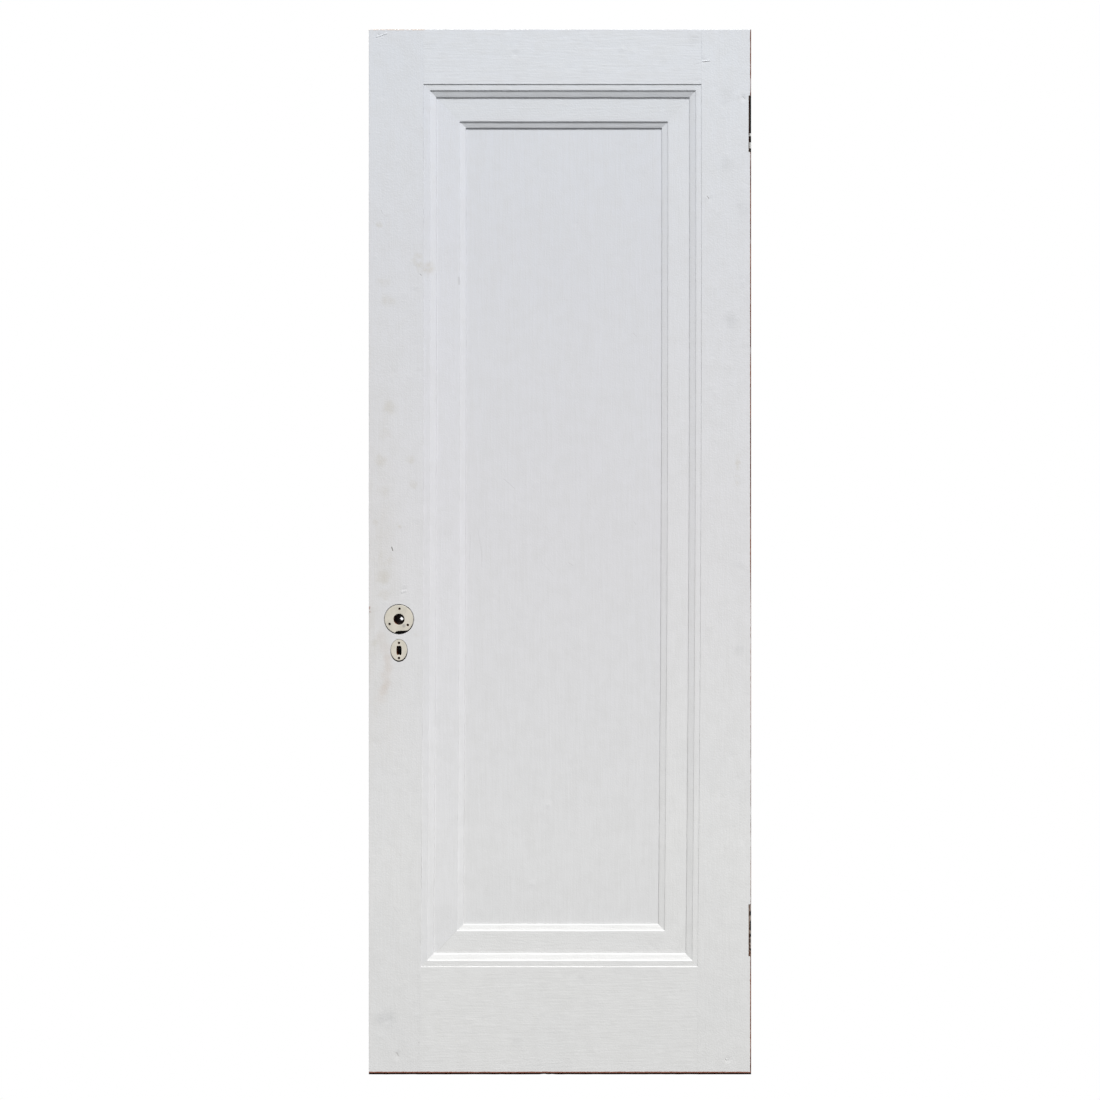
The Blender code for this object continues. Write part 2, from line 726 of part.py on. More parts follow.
def cut_bolt_ways(target, near, far):
    cut(target, bolt_tool(f"{target.name}_latch_way", LATCH_THICKNESS, LATCH_HEIGHT, HUB_HEIGHT, near, far))
    name = f"{target.name}_dead_bolt_way"
    cut(target, bolt_tool(name, DEAD_BOLT_THICKNESS, DEAD_BOLT_HEIGHT, DEAD_BOLT_MIDDLE, near, far))


def screw_profile(head_radius, shank_radius, length):
    """Half of a countersunk screw, as radius and distance below its head's face, outer side first."""
    cone = head_radius - shank_radius
    tip = 2 * shank_radius
    return [
        (0, 0),
        (head_radius, 0),
        (shank_radius, cone),
        (shank_radius, length - tip),
        (0, length),
    ]


def make_screw(name, head_radius, shank_radius, length, place, turn, material):
    """A turned screw along its local Z, its head's face at the place given, with a slot across it."""
    work = bmesh.new()
    points = screw_profile(head_radius, shank_radius, length)
    vertices = [work.verts.new((radius, 0, -down)) for radius, down in points]
    for first, second in zip(vertices, vertices[1:]):
        work.edges.new((first, second))
    mesh = bpy.data.meshes.new(name)
    work.to_mesh(mesh)
    work.free()
    screw = add_object(name, mesh, place, turn)
    modifier = screw.modifiers.new("turned", "SCREW")
    modifier.steps = SMALL_SIDES
    modifier.render_steps = SMALL_SIDES
    modifier.use_merge_vertices = True
    modifier.merge_threshold = WELD
    paint(screw, material)
    slot = block(
        f"{name}_slot",
        (-head_radius - PAST, -SCREW_SLOT_WIDTH / 2, -SCREW_SLOT_DEPTH),
        (head_radius + PAST, SCREW_SLOT_WIDTH / 2, PAST),
    )
    slot.matrix_local = screw.matrix_basis @ Matrix.Translation(slot.location)
    cut(screw, slot)
    return screw


def countersink_tool(name, head_radius, shank_radius, place, turn, through):
    """What a countersunk screw needs cut in the plate it holds."""
    rim = head_radius + 2 * GAP
    hole = shank_radius + GAP
    slope = rim - hole
    points = [(0, PAST), (rim + PAST, PAST), (hole, -slope), (hole, -through), (0, -through)]
    work = bmesh.new()
    vertices = [work.verts.new((radius, 0, height)) for radius, height in points]
    for first, second in zip(vertices, vertices[1:]):
        work.edges.new((first, second))
    mesh = bpy.data.meshes.new(name)
    work.to_mesh(mesh)
    work.free()
    tool = add_object(name, mesh, place, turn)
    modifier = tool.modifiers.new("turned", "SCREW")
    modifier.steps = SMALL_SIDES
    modifier.render_steps = SMALL_SIDES
    modifier.use_merge_vertices = True
    modifier.merge_threshold = WELD
    return tool


def faceplate_screw_heights():
    offset = FACEPLATE_LENGTH / 2 - FACEPLATE_SCREW_INSET
    return [("upper", FACEPLATE_MIDDLE + offset), ("lower", FACEPLATE_MIDDLE - offset)]


def make_faceplate():
    plate = block(
        "lock_faceplate",
        (0, MID - FACEPLATE_WIDTH / 2, FACEPLATE_MIDDLE - FACEPLATE_LENGTH / 2),
        (FACEPLATE_THICKNESS, MID + FACEPLATE_WIDTH / 2, FACEPLATE_MIDDLE + FACEPLATE_LENGTH / 2),
    )
    paint(plate, aged_brass)
    cut_bolt_ways(plate, -PAST, FACEPLATE_THICKNESS + PAST)
    head_out = (0, -math.pi / 2, 0)
    for label, height in faceplate_screw_heights():
        sizes = (FACEPLATE_SCREW_HEAD_RADIUS, FACEPLATE_SCREW_SHANK_RADIUS)
        place = (0, MID, height)
        through = FACEPLATE_THICKNESS + PAST
        cut(plate, countersink_tool(f"{label}_countersink", *sizes, place, head_out, through))
        name = f"{label}_faceplate_screw"
        make_screw(name, *sizes, FACEPLATE_SCREW_LENGTH, place, head_out, aged_brass)
    return plate


def make_case():
    """The lock's tray, open at the back, with the post that guides the dead bolt's tail."""
    tray_back = CAP_FRONT - GAP
    case = block("lock_case", (CASE_NEAR, CASE_FRONT, CASE_BOTTOM), (CASE_FAR, tray_back, CASE_TOP))
    paint(case, case_iron)
    near = (CASE_NEAR + CASE_RIM, CASE_FRONT + CASE_SIDE, CASE_BOTTOM + CASE_RIM)
    far = (CASE_FAR - CASE_RIM, tray_back + PAST, CASE_TOP - CASE_RIM)
    cut(case, block("case_hollow", near, far))
    cut_bolt_ways(case, CASE_NEAR - PAST, CASE_NEAR + CASE_RIM + PAST)
    start = (GUIDE_POST_FROM_EDGE, CASE_FRONT + CASE_SIDE / 2, POST_HEIGHT)
    end = (GUIDE_POST_FROM_EDGE, tray_back, POST_HEIGHT)
    join(case, rod("guide_post", GUIDE_POST_RADIUS, start, end, "y", SMALL_SIDES))
    start = (GUIDE_POST_FROM_EDGE, CASE_BACK - CAP_SCREW_LENGTH - GAP, POST_HEIGHT)
    end = (GUIDE_POST_FROM_EDGE, CASE_BACK, POST_HEIGHT)
    cut(case, rod("cap_screw_hole", CAP_SCREW_SHANK_RADIUS + GAP, start, end, "y", SMALL_SIDES))
    cut_side_holes(case, CASE_FRONT - PAST, CASE_FRONT + CASE_SIDE + PAST)


def make_cap():
    """The flat cover that closes the tray, and its screw."""
    cap = block("lock_cap", (CASE_NEAR, CAP_FRONT, CASE_BOTTOM), (CASE_FAR, CASE_BACK, CASE_TOP))
    paint(cap, case_iron)
    cut_side_holes(cap, CAP_FRONT - PAST, CASE_BACK + PAST)
    sizes = (CAP_SCREW_HEAD_RADIUS, CAP_SCREW_SHANK_RADIUS)
    place = (GUIDE_POST_FROM_EDGE, CASE_BACK, POST_HEIGHT)
    head_back = (-math.pi / 2, 0, 0)
    cut(cap, countersink_tool("cap_countersink", *sizes, place, head_back, CASE_SIDE + PAST))
    make_screw("cap_screw", *sizes, CAP_SCREW_LENGTH, place, head_back, case_iron)


def cut_side_holes(target, near, far):
    """The hub's bearing and the keyhole, through one side of the lock."""
    name = f"{target.name}_hub_bearing"
    radius = HUB_JOURNAL_RADIUS + GAP
    cut(target, rod(name, radius, (BACKSET, near, HUB_HEIGHT), (BACKSET, far, HUB_HEIGHT), "y"))
    cut(target, board(f"{target.name}_keyhole", lock_keyhole_outline(), near, far))


def make_hub():
    """Drum, journals and one arm, with the spindle's square hole standing on its corner."""
    half_drum = CASE_THICKNESS / 2 - CASE_SIDE - GAP
    centre = Vector((BACKSET, MID, HUB_HEIGHT))
    outwards = Vector((0, 1, 0))
    hub = rod("hub", HUB_DRUM_RADIUS, centre - outwards * half_drum, centre + outwards * half_drum, "y")
    paint(hub, case_iron)
    half_journal = CASE_THICKNESS / 2
    start = centre - outwards * half_journal
    end = centre + outwards * half_journal
    join(hub, rod("hub_journals", HUB_JOURNAL_RADIUS, start, end, "y"))
    aim = Vector((math.sin(HUB_TURN), 0, math.cos(HUB_TURN)))
    across = Vector((aim.z, 0, -aim.x)) * (HUB_ARM_WIDTH / 2)
    root = centre + aim * (SPINDLE_SQUARE / 2 + GAP)
    tip = centre + aim * HUB_ARM_REACH
    outline = [root - across, root + across, tip + across, tip - across]
    half_arm = HUB_ARM_THICKNESS / 2
    arm = board("hub_arm", [(point.x, point.z) for point in outline], MID - half_arm, MID + half_arm)
    join(hub, arm)
    corner = SPINDLE_SQUARE / math.sqrt(2)
    diamond = ellipse((BACKSET, HUB_HEIGHT), (corner, corner), 4)
    cut(hub, board("spindle_square", diamond, MID - half_journal - PAST, MID + half_journal + PAST))
    return hub


def make_latch_bolt():
    """A bevelled head, and a tail that passes over the hub to a finger behind its arm."""
    half = LATCH_THICKNESS / 2
    plan = [
        (LATCH_HEAD_LENGTH, MID - half),
        (0, MID - half),
        (0, MID - half + LATCH_NOSE),
        (LATCH_BEVEL_LENGTH, MID + half),
        (LATCH_HEAD_LENGTH, MID + half),
    ]
    latch = add_object("latch_bolt", flat_solid("latch_bolt", plan, LATCH_HEIGHT), (0, 0, HUB_HEIGHT))
    paint(latch, aged_brass)
    near = LATCH_HEAD_LENGTH - LATCH_RISER_WIDTH + GAP
    riser = LATCH_HEAD_LENGTH + GAP
    bar_top = CASE_TOP - CASE_RIM - BOLT_PLAY
    bar_low = bar_top - LATCH_BAR_HEIGHT
    finger_low = HUB_HEIGHT + HUB_DRUM_RADIUS + LATCH_FINGER_CLEAR
    finger_far = FINGER_NEAR + LATCH_FINGER_WIDTH
    outline = [
        (near, HUB_HEIGHT - LATCH_RISER_DROP),
        (riser, HUB_HEIGHT - LATCH_RISER_DROP),
        (riser, bar_low),
        (FINGER_NEAR, bar_low),
        (FINGER_NEAR, finger_low),
        (finger_far, finger_low),
        (finger_far, bar_top),
        (near, bar_top),
    ]
    half_tail = BOLT_TAIL_THICKNESS / 2
    join(latch, board("latch_tail", outline, MID - half_tail, MID + half_tail))
    return latch


def make_dead_bolt():
    """A square head, and a flat tail with the slot for the guide post and the notch the key throws."""
    half = DEAD_BOLT_THICKNESS / 2
    low = DEAD_BOLT_MIDDLE - DEAD_BOLT_HEIGHT / 2
    high = DEAD_BOLT_MIDDLE + DEAD_BOLT_HEIGHT / 2
    bolt = block("dead_bolt", (0, MID - half, low), (DEAD_BOLT_HEAD_LENGTH, MID + half, high))
    paint(bolt, aged_brass)
    talon = TALON_WIDTH / 2
    outline = [
        (DEAD_BOLT_HEAD_LENGTH - PAST, low + PAST),
        (BACKSET - talon, low + PAST),
        (BACKSET - talon, low + PAST + TALON_HEIGHT),
        (BACKSET + talon, low + PAST + TALON_HEIGHT),
        (BACKSET + talon, low + PAST),
        (DEAD_BOLT_REACH, low + PAST),
        (DEAD_BOLT_REACH, high - PAST),
        (DEAD_BOLT_HEAD_LENGTH - PAST, high - PAST),
    ]
    half_tail = BOLT_TAIL_THICKNESS / 2
    join(bolt, board("dead_bolt_tail", outline, MID - half_tail, MID + half_tail))
    reach = GUIDE_POST_RADIUS + BOLT_PLAY
    near = (GUIDE_POST_FROM_EDGE - reach, MID - half_tail - PAST, POST_HEIGHT - reach)
    far = (GUIDE_POST_FROM_EDGE + DEAD_BOLT_TRAVEL + reach, MID + half_tail + PAST, POST_HEIGHT + reach)
    cut(bolt, block("dead_bolt_slot", near, far))
    return bolt


def shade():
    """Round pieces shade smooth, flat ones stay sharp."""
    for item in parts.objects:
        if item.type == "MESH":
            item.data.shade_smooth()
            item.data.set_sharp_from_angle(angle=math.radians(30))


clear_scene()
parts = new_collection("door_leaf")
cutters = new_collection("cutters")
leaf = bpy.data.objects.new("leaf_hang_point", None)
parts.objects.link(leaf)
leaf.location = -HANG_POINT

painted_wood = new_material("painted_wood", (0.68, 0.69, 0.71), 0.45)
plated_brass = new_material("plated_brass", (0.58, 0.55, 0.48), 0.38, 0.9)
aged_brass = new_material("aged_brass", (0.36, 0.27, 0.13), 0.42, 0.9)
case_iron = new_material("case_iron", (0.09, 0.085, 0.08), 0.6, 0.8)

lock_stile_lower = make_stile("lock_stile_lower", 0, 0, LOCK_PART_LOW - GAP / 2)
lock_stile_middle = make_stile("lock_stile_middle", 0, LOCK_PART_LOW + GAP / 2, LOCK_PART_HIGH - GAP / 2)
lock_stile_upper = make_stile("lock_stile_upper", 0, LOCK_PART_HIGH + GAP / 2, LEAF_HEIGHT)
hinge_stile = make_stile("hinge_stile", 1, 0, LEAF_HEIGHT)
cut_mortise(lock_stile_lower, 0, "bottom", 0, OPENING_BOTTOM)
cut_mortise(lock_stile_upper, 0, "top", OPENING_TOP, LEAF_HEIGHT)
cut_mortise(hinge_stile, 1, "bottom", 0, OPENING_BOTTOM)
cut_mortise(hinge_stile, 1, "top", OPENING_TOP, LEAF_HEIGHT)
cut_for_lock(lock_stile_middle)
cut_gain(hinge_stile, "upper_gain", UPPER_GAIN_BOTTOM, UPPER_GAIN_HEIGHT)
cut_gain(hinge_stile, "lower_gain", LOWER_GAIN_BOTTOM, LOWER_GAIN_HEIGHT)
make_rail("bottom_rail", 0, OPENING_BOTTOM, 3)
make_rail("top_rail", OPENING_TOP, LEAF_HEIGHT, 1)
for member_name, side in (("left", 0), ("top", 1), ("right", 2), ("bottom", 3)):
    make_moulding(f"moulding_{member_name}", side)
make_panel()
make_plates()
make_faceplate()
make_case()
make_cap()
make_hub()
make_latch_bolt()
make_dead_bolt()
shade()
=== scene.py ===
import math

import bmesh
import bpy
import numpy as np
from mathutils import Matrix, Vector


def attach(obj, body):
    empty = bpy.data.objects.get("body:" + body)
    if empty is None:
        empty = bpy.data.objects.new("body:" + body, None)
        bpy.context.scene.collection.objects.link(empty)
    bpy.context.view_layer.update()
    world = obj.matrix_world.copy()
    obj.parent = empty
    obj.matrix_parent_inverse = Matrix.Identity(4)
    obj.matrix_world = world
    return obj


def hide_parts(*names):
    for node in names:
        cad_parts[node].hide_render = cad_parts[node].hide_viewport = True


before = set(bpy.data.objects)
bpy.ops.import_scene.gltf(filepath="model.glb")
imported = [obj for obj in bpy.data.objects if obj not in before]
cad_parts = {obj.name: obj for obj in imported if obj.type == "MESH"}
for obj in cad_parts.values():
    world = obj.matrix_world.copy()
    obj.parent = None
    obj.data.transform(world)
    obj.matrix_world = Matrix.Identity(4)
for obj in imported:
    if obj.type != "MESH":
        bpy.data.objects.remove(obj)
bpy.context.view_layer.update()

print("door leaf: frame loaded")

# the leaf: across is measured from the lock edge, deep from the front face, up from the bottom
leaf = {
    "corner": (-0.7586, -0.01905, -1.8947),  # where across, deep and up are all nothing
    "size": (0.762, 0.04445, 2.0828),
    "opening": ((0.1031, 0.2148), (0.1091, 1.9737), (0.6629, 1.9737), (0.6554, 0.2148)),
    "gap": 0.00001,  # between boards that meet
    "joint": 0.00007,  # how far the paint is rounded into a joint
    "gridStep": 0.0036,
    "waveSeed": 7,  # the same for all boards, so that their faces stay level at the joints
    "highest": 0.00045,  # what the paint may stand proud
    "bow": 0.0027,  # how far the opening's sides bend towards the hinge edge halfway up
    "past": 0.002,  # how far a cutting tool stands out of what it cuts
}
leafWidth, leafDepth, leafHeight = leaf["size"]


# turns arrays of across, deep and up into points of the frame; between the stiles' middles a point slides
# towards the hinge edge by bow * (1 - t^2), where t runs from -1 to 1 up the opening, and less in the stiles
def toFrame(across, deep, up):
    low, high = leaf["opening"][0][1], leaf["opening"][1][1]
    t = np.clip((2 * up - low - high) / (high - low), -1, 1)
    inside = np.clip((across - 0.088) / 0.014, 0, 1) * np.clip((0.752 - across) / 0.085, 0, 1)
    across = across + leaf["bow"] * (1 - t * t) * inside * inside * (3 - 2 * inside)
    return np.stack(np.broadcast_arrays(across, deep, up), -1) + np.array(leaf["corner"])


# smooth random height from -1 to 1: random values at the corners of cells, blended by 3t^2 - 2t^3
def drift(u, v, cellU, cellV, seed):
    table = np.random.default_rng(seed).uniform(-1, 1, (61, 61))
    u, v = np.broadcast_arrays(np.asarray(u, float) / cellU, np.asarray(v, float) / cellV)
    i, j = np.floor(u).astype(int), np.floor(v).astype(int)
    s, t = u - i, v - j
    s, t = s * s * (3 - 2 * s), t * t * (3 - 2 * t)
    low = table[i % 61, j % 61] * (1 - s) + table[(i + 1) % 61, j % 61] * s
    high = table[i % 61, (j + 1) % 61] * (1 - s) + table[(i + 1) % 61, (j + 1) % 61] * s
    return low * (1 - t) + high * t


# sum of round lumps with flat tops, each its height times exp(-(distance / radius)^4)
def lumps(u, v, marks):
    total = np.zeros(np.broadcast(u, v).shape)
    for markU, markV, radius, height in marks:
        reach = ((u - markU) ** 2 + (v - markV) ** 2) / radius**2
        total += height * np.exp(-reach * reach)
    return total


# radius of an arris that wears unevenly: a base, a swing over cells of a length, and dents of place, reach
# and depth
def wornArris(base, swing=0, cell=1, seed=0, dents=()):
    marks = [(place, 0, reach, depth) for place, reach, depth in dents]
    return lambda along: base + swing * drift(along, 0, cell, 1, seed) + lumps(along, 0 * along, marks)


# height of a painted face: slow waves, ripples drawn out along the grain, small specks and the listed marks
def paintHeight(across, up, look):
    long, short = 0.09, 0.010
    cellU, cellV = (short, long) if look["grain"] == "up" else (long, short)
    height = look.get("wave", 0.00016) * drift(across, up, 0.13, 0.17, leaf["waveSeed"])
    height += look.get("ripple", 0.00004) * drift(across, up, cellU, cellV, look["seed"] + 1)
    rng = np.random.default_rng(look["seed"] + 2)
    count = look.get("specks", 60)
    reach = (np.ptp(across), np.ptp(up))
    start = (np.min(across), np.min(up))
    specks = zip(
        start[0] + rng.uniform(0, 1, count) * reach[0],
        start[1] + rng.uniform(0, 1, count) * reach[1],
        rng.uniform(0.003, 0.006, count),
        rng.choice((0.00012, 0.0002, -0.00018), count),
    )
    height += lumps(across, up, list(specks) + list(look.get("marks", ())))
    return np.minimum(height, leaf["highest"])


# rounds the corner of two faces: a point nearer to both than the radius slides onto the quarter circle that
# touches them
def roundCorner(first, second, radius):
    near = (first < radius) & (second < radius)
    a, b = first - radius, second - radius
    reach = np.maximum(np.hypot(a, b), 1e-9)
    rounded = radius + a * radius / reach, radius + b * radius / reach
    return np.where(near, rounded[0], first), np.where(near, rounded[1], second)


# distances over a length: a few close ones at each end and even steps between
def gridLines(length, step, rim):
    rim = np.array(rim)
    count = max(2, round((length - 2 * rim[-1]) / step) + 1)
    return np.concatenate((rim[:-1], np.linspace(rim[-1], length - rim[-1], count), length - rim[-2::-1]))


# mesh object from arrays of points and quads, its faces turned outwards
def meshPiece(name, points, quads, caps=()):
    mesh = bpy.data.meshes.new(name)
    faces = np.asarray(quads).tolist() + [list(cap) for cap in caps]
    mesh.from_pydata(np.asarray(points).reshape(-1, 3).tolist(), [], faces)
    work = bmesh.new()
    work.from_mesh(mesh)
    bmesh.ops.recalc_face_normals(work, faces=work.faces)
    work.to_mesh(mesh)
    work.free()
    piece = bpy.data.objects.new(name, mesh)
    bpy.context.scene.collection.objects.link(piece)
    return piece


# smooth shading, with the edges sharper than an angle left sharp
def shade(piece, angle=40):
    piece.data.shade_smooth()
    piece.data.set_sharp_from_angle(angle=math.radians(angle))


# quads of a grid of vertex numbers: each crossing joined to the next ones along both ways
def gridQuads(numbers):
    corners = (numbers[:-1, :-1], numbers[1:, :-1], numbers[1:, 1:], numbers[:-1, 1:])
    return np.stack(corners, -1).reshape(-1, 4)


# closed box of grid lines, with vertices on its six sides only, placed by the function given
def boxShell(name, xs, ys, zs, place):
    i, j, k = np.meshgrid(np.arange(len(xs)), np.arange(len(ys)), np.arange(len(zs)), indexing="ij")
    skin = (i == 0) | (i == len(xs) - 1) | (j == 0) | (j == len(ys) - 1) | (k == 0) | (k == len(zs) - 1)
    numbers = np.full(skin.shape, -1)
    numbers[skin] = np.arange(skin.sum())
    points = place(xs[i[skin]], ys[j[skin]], zs[k[skin]])
    sides = (numbers[0], numbers[-1], numbers[:, 0], numbers[:, -1], numbers[:, :, 0], numbers[:, :, -1])
    return meshPiece(name, points, np.concatenate([gridQuads(side) for side in sides]))


# x of a line between two corners, each given as across and up, at a height
def lineAt(low, high, up):
    return low[0] + (high[0] - low[0]) * (up - low[1]) / (high[1] - low[1])


faceAxis = {"left": (0, 0), "right": (0, 1), "front": (1, 0), "back": (1, 1), "low": (2, 0), "high": (2, 1)}


# a board as a closed shell: a box of grid lines, its arrises rounded one by one, its faces rising and falling
def makeBoard(settings):
    low, high = settings["upRange"]
    deepLow, deepHigh = settings.get("deepRange", (0, leafDepth))
    leftLow, leftHigh = settings["left"]
    rightLow, rightHigh = settings["right"]
    size = (max(rightLow - leftLow, rightHigh - leftHigh), deepHigh - deepLow, high - low)
    step = settings.get("step", leaf["gridStep"])

    def place(a, b, c):
        spot = [a.copy(), b.copy(), c.copy()]
        for (first, second), radius in settings["arrises"].items():
            if callable(radius):
                upright = "left" in (first, second) or "right" in (first, second)
                radius = radius(spot[2] + low if upright else spot[0] + leftLow)
            axes = [faceAxis[first], faceAxis[second]]
            gaps = [size[axis] - spot[axis] if end else spot[axis] for axis, end in axes]
            for (axis, end), gap in zip(axes, roundCorner(gaps[0], gaps[1], radius)):
                spot[axis] = size[axis] - gap if end else gap
        share = c / size[2]
        left = leftLow + (leftHigh - leftLow) * share
        right = rightLow + (rightHigh - rightLow) * share
        across = left + (right - left) * spot[0] / size[0]
        up = spot[2] + low
        front = np.clip(1 - spot[1] / 0.004, 0, 1) * paintHeight(across, up, settings["look"])
        behind = dict(settings["look"], seed=settings["look"]["seed"] + 50, marks=())
        back = np.clip(1 - (size[1] - spot[1]) / 0.004, 0, 1) * paintHeight(across, up, behind)
        deep = spot[1] + deepLow - front + back
        return toFrame(across, deep, up)

    rim = settings.get("rim", (0, 0.0003, 0.0007, 0.0013, 0.002, 0.003, 0.0045))
    xs = gridLines(size[0], step, rim)
    ys = gridLines(size[1], 0.007, settings.get("deepRim", (0, 0.0003, 0.0007, 0.0013, 0.002, 0.003)))
    zs = gridLines(size[2], step, rim)
    return boxShell(settings["name"], xs, ys, zs, place)


# outline of a circle or an oval as across and up
def oval(across, up, radiusA, radiusB, count):
    angle = np.arange(count) * math.tau / count
    return np.stack((across + radiusA * np.cos(angle), up + radiusB * np.sin(angle)), -1)


# straight-sided tool: an outline of across and up carried from one depth to another, or one of deep and up
# carried across
def prism(outline, start, end, along="deep"):
    first, up = np.asarray(outline, float).T
    ends = []
    for place in (start, end):
        ends.append(toFrame(first, place, up) if along == "deep" else toFrame(place, first, up))
    return np.concatenate(ends), len(outline)


# cuts several tools that don't touch each other out of a piece at once
def carve(piece, tools):
    points, quads, caps, start = [], [], [], 0
    for shape, count in tools:
        ring = np.arange(count)
        after = np.roll(ring, -1)
        quads.append(start + np.stack((ring, after, after + count, ring + count), -1))
        caps += [start + ring, start + count + ring[::-1]]
        points.append(shape)
        start += 2 * count
    tool = meshPiece("tool", np.concatenate(points), np.concatenate(quads), caps)
    modifier = piece.modifiers.new("cut", "BOOLEAN")
    modifier.object = tool
    modifier.operation = "DIFFERENCE"
    modifier.solver = "EXACT"
    depsgraph = bpy.context.evaluated_depsgraph_get()
    cutMesh = bpy.data.meshes.new_from_object(piece.evaluated_get(depsgraph))
    piece.modifiers.clear()
    old = piece.data
    piece.data = cutMesh
    cutMesh.name = piece.name
    bpy.data.meshes.remove(old)
    bpy.data.objects.remove(tool)


# one output socket of a node; a sum on it adds a Math node
class Wire:
    def __init__(self, kit, socket):
        self.kit = kit
        self.socket = socket

    def math(self, operation, first, second=0.0):
        return self.kit.node("ShaderNodeMath", {"operation": operation}, {0: first, 1: second})

    def __add__(self, other):
        return self.math("ADD", self, other)

    def __radd__(self, other):
        return self.math("ADD", other, self)

    def __sub__(self, other):
        return self.math("SUBTRACT", self, other)

    def __rsub__(self, other):
        return self.math("SUBTRACT", other, self)

    def __mul__(self, other):
        return self.math("MULTIPLY", self, other)

    def __rmul__(self, other):
        return self.math("MULTIPLY", other, self)

    def __or__(self, other):
        return self.math("MAXIMUM", self, other)

    def size(self):
        return self.math("ABSOLUTE", self)


# a node tree and the one method that makes its nodes
class Kit:
    def __init__(self, tree):
        self.tree = tree

    def node(self, kind, settings, sockets, output=0):
        made = self.tree.nodes.new(kind)
        for key, value in settings.items():
            if key == "stops":
                stops = made.color_ramp.elements
                for index, (place, colour) in enumerate(value):
                    stop = stops[index] if index < 2 else stops.new(place)
                    stop.position = place
                    stop.color = (*colour, 1)
            else:
                setattr(made, key, value)
        for key, value in sockets.items():
            if isinstance(value, Wire):
                self.tree.links.new(value.socket, made.inputs[key])
            else:
                made.inputs[key].default_value = value
        return Wire(self, made.outputs[output])

    # 0 at the first value, 1 at the second, and smooth between
    def fade(self, value, start, end):
        settings = {"interpolation_type": "SMOOTHSTEP"}
        return self.node("ShaderNodeMapRange", settings, {"Value": value, "From Min": start, "From Max": end})

    def mix(self, factor, first, second, blend="MIX"):
        colours = [colour if isinstance(colour, Wire) else (*colour, 1) for colour in (first, second)]
        sockets = {0: factor, 6: colours[0], 7: colours[1]}
        return self.node("ShaderNodeMix", {"data_type": "RGBA", "blend_type": blend}, sockets, 2)

    def noise(self, place, scale, detail=3.0, roughness=0.55, output=0):
        sockets = {"Vector": place, "Scale": scale, "Detail": detail, "Roughness": roughness}
        return self.node("ShaderNodeTexNoise", {}, sockets, output)

    def stretch(self, place, scales):
        return self.node("ShaderNodeVectorMath", {"operation": "MULTIPLY"}, {0: place, 1: scales})

    # position in metres, and its parts measured from the leaf's lower front corner on the lock side
    def place(self):
        return self.node("ShaderNodeTexCoord", {}, {}, 3)

    def parts(self, place):
        corner = self.node("ShaderNodeVectorMath", {"operation": "SUBTRACT"}, {0: place, 1: leaf["corner"]})
        return [self.node("ShaderNodeSeparateXYZ", {}, {0: corner}, index) for index in range(3)]

    # 1 inside a round mark on the front face and 0 outside: across, up and radius in metres
    def mark(self, place, across, up, radius, soft=0.5):
        centre = (leaf["corner"][0] + across, leaf["corner"][1], leaf["corner"][2] + up)
        away = self.node("ShaderNodeVectorMath", {"operation": "DISTANCE"}, {0: place, 1: centre}, 1)
        return self.fade(away, radius * (1 + soft), radius * (1 - soft))

    # 1 between two values and 0 outside them
    def band(self, value, low, high, soft):
        return self.fade(value, low - soft, low) * self.fade(value, high + soft, high)

    # distance from an axis that runs straight through the leaf; up is squeezed for an oval
    def fromAxis(self, place, across, up, squeeze=1.0):
        centre = (leaf["corner"][0] + across, 0, (leaf["corner"][2] + up) * squeeze)
        flat = self.stretch(place, (1, 0, squeeze))
        return self.node("ShaderNodeVectorMath", {"operation": "DISTANCE"}, {0: flat, 1: centre}, 1)

    # 1 on a thin line of the front face between two points, each across and up, and 0 beside and past it
    def line(self, parts, wobble, start, end, width):
        across, deep, up = parts
        run, rise = end[0] - start[0], end[1] - start[1]
        length = math.hypot(run, rise)
        run, rise = run / length, rise / length
        along = (across - start[0]) * run + (up - start[1]) * rise
        beside = ((across - start[0]) * rise - (up - start[1]) * run + wobble).size()
        ends = self.fade(along, 0.0, 0.1 * length) * self.fade(along, length, 0.9 * length)
        return self.fade(beside, width, 0.3 * width) * ends * self.fade(deep, 0.022, 0.018)


# a material, its kit and its main shader with the constants set
def startMaterial(name, metallic=0.0, roughness=0.5, coat=0.0):
    material = bpy.data.materials.new(name)
    material.use_nodes = True
    shader = material.node_tree.nodes["Principled BSDF"]
    shader.inputs["Metallic"].default_value = metallic
    shader.inputs["Roughness"].default_value = roughness
    shader.inputs["Coat Weight"].default_value = coat
    return material, Kit(material.node_tree), shader


def plug(kit, wire, shader, socket):
    kit.tree.links.new(wire.socket, shader.inputs[socket])


paintLook = {
    # colour of the paint up the leaf, as shares of its height from the bottom; its cooler, darker top is
    # painted light, as under cool light from above
    "tintsAndCoolCast": (
        (0.05, (0.711, 0.709, 0.701)),
        (0.22, (0.733, 0.731, 0.724)),
        (0.52, (0.698, 0.693, 0.705)),
        (0.80, (0.669, 0.678, 0.706)),
        (0.97, (0.667, 0.689, 0.726)),
    ),
    "worn": (0.56, 0.555, 0.54),
    "greyed": (0.60, 0.61, 0.62),
    "grime": (0.43, 0.375, 0.255),
    "greySmudge": (0.42, 0.43, 0.44),
    "drip": (0.42, 0.22, 0.08),
    "crackFill": (0.20, 0.19, 0.17),
    "bareWood": (0.24, 0.076, 0.028),
    "darkWood": (0.060, 0.018, 0.009),
    "bottomBrown": (0.27, 0.105, 0.070),
    # near-black bare wood: painted shade on the bottom arris, which turns down away from the light
    "bottomWoodShade": (0.010, 0.003, 0.002),
    # dark seat colour: old dirt together with painted shade in the gap around the plates
    "oldDirtAndShade": (0.085, 0.072, 0.055),
    # near black: dirt with painted shade, for the hinge gains, the plates' seats and the screw holes
    "gainDirtAndShade": (0.010, 0.008, 0.007),
    "gainWood": (0.33, 0.275, 0.24),
    "gainFloor": (0.17, 0.115, 0.080),
    "topStain": (0.62, 0.42, 0.27),
    "bareGloss": 0.05,
}
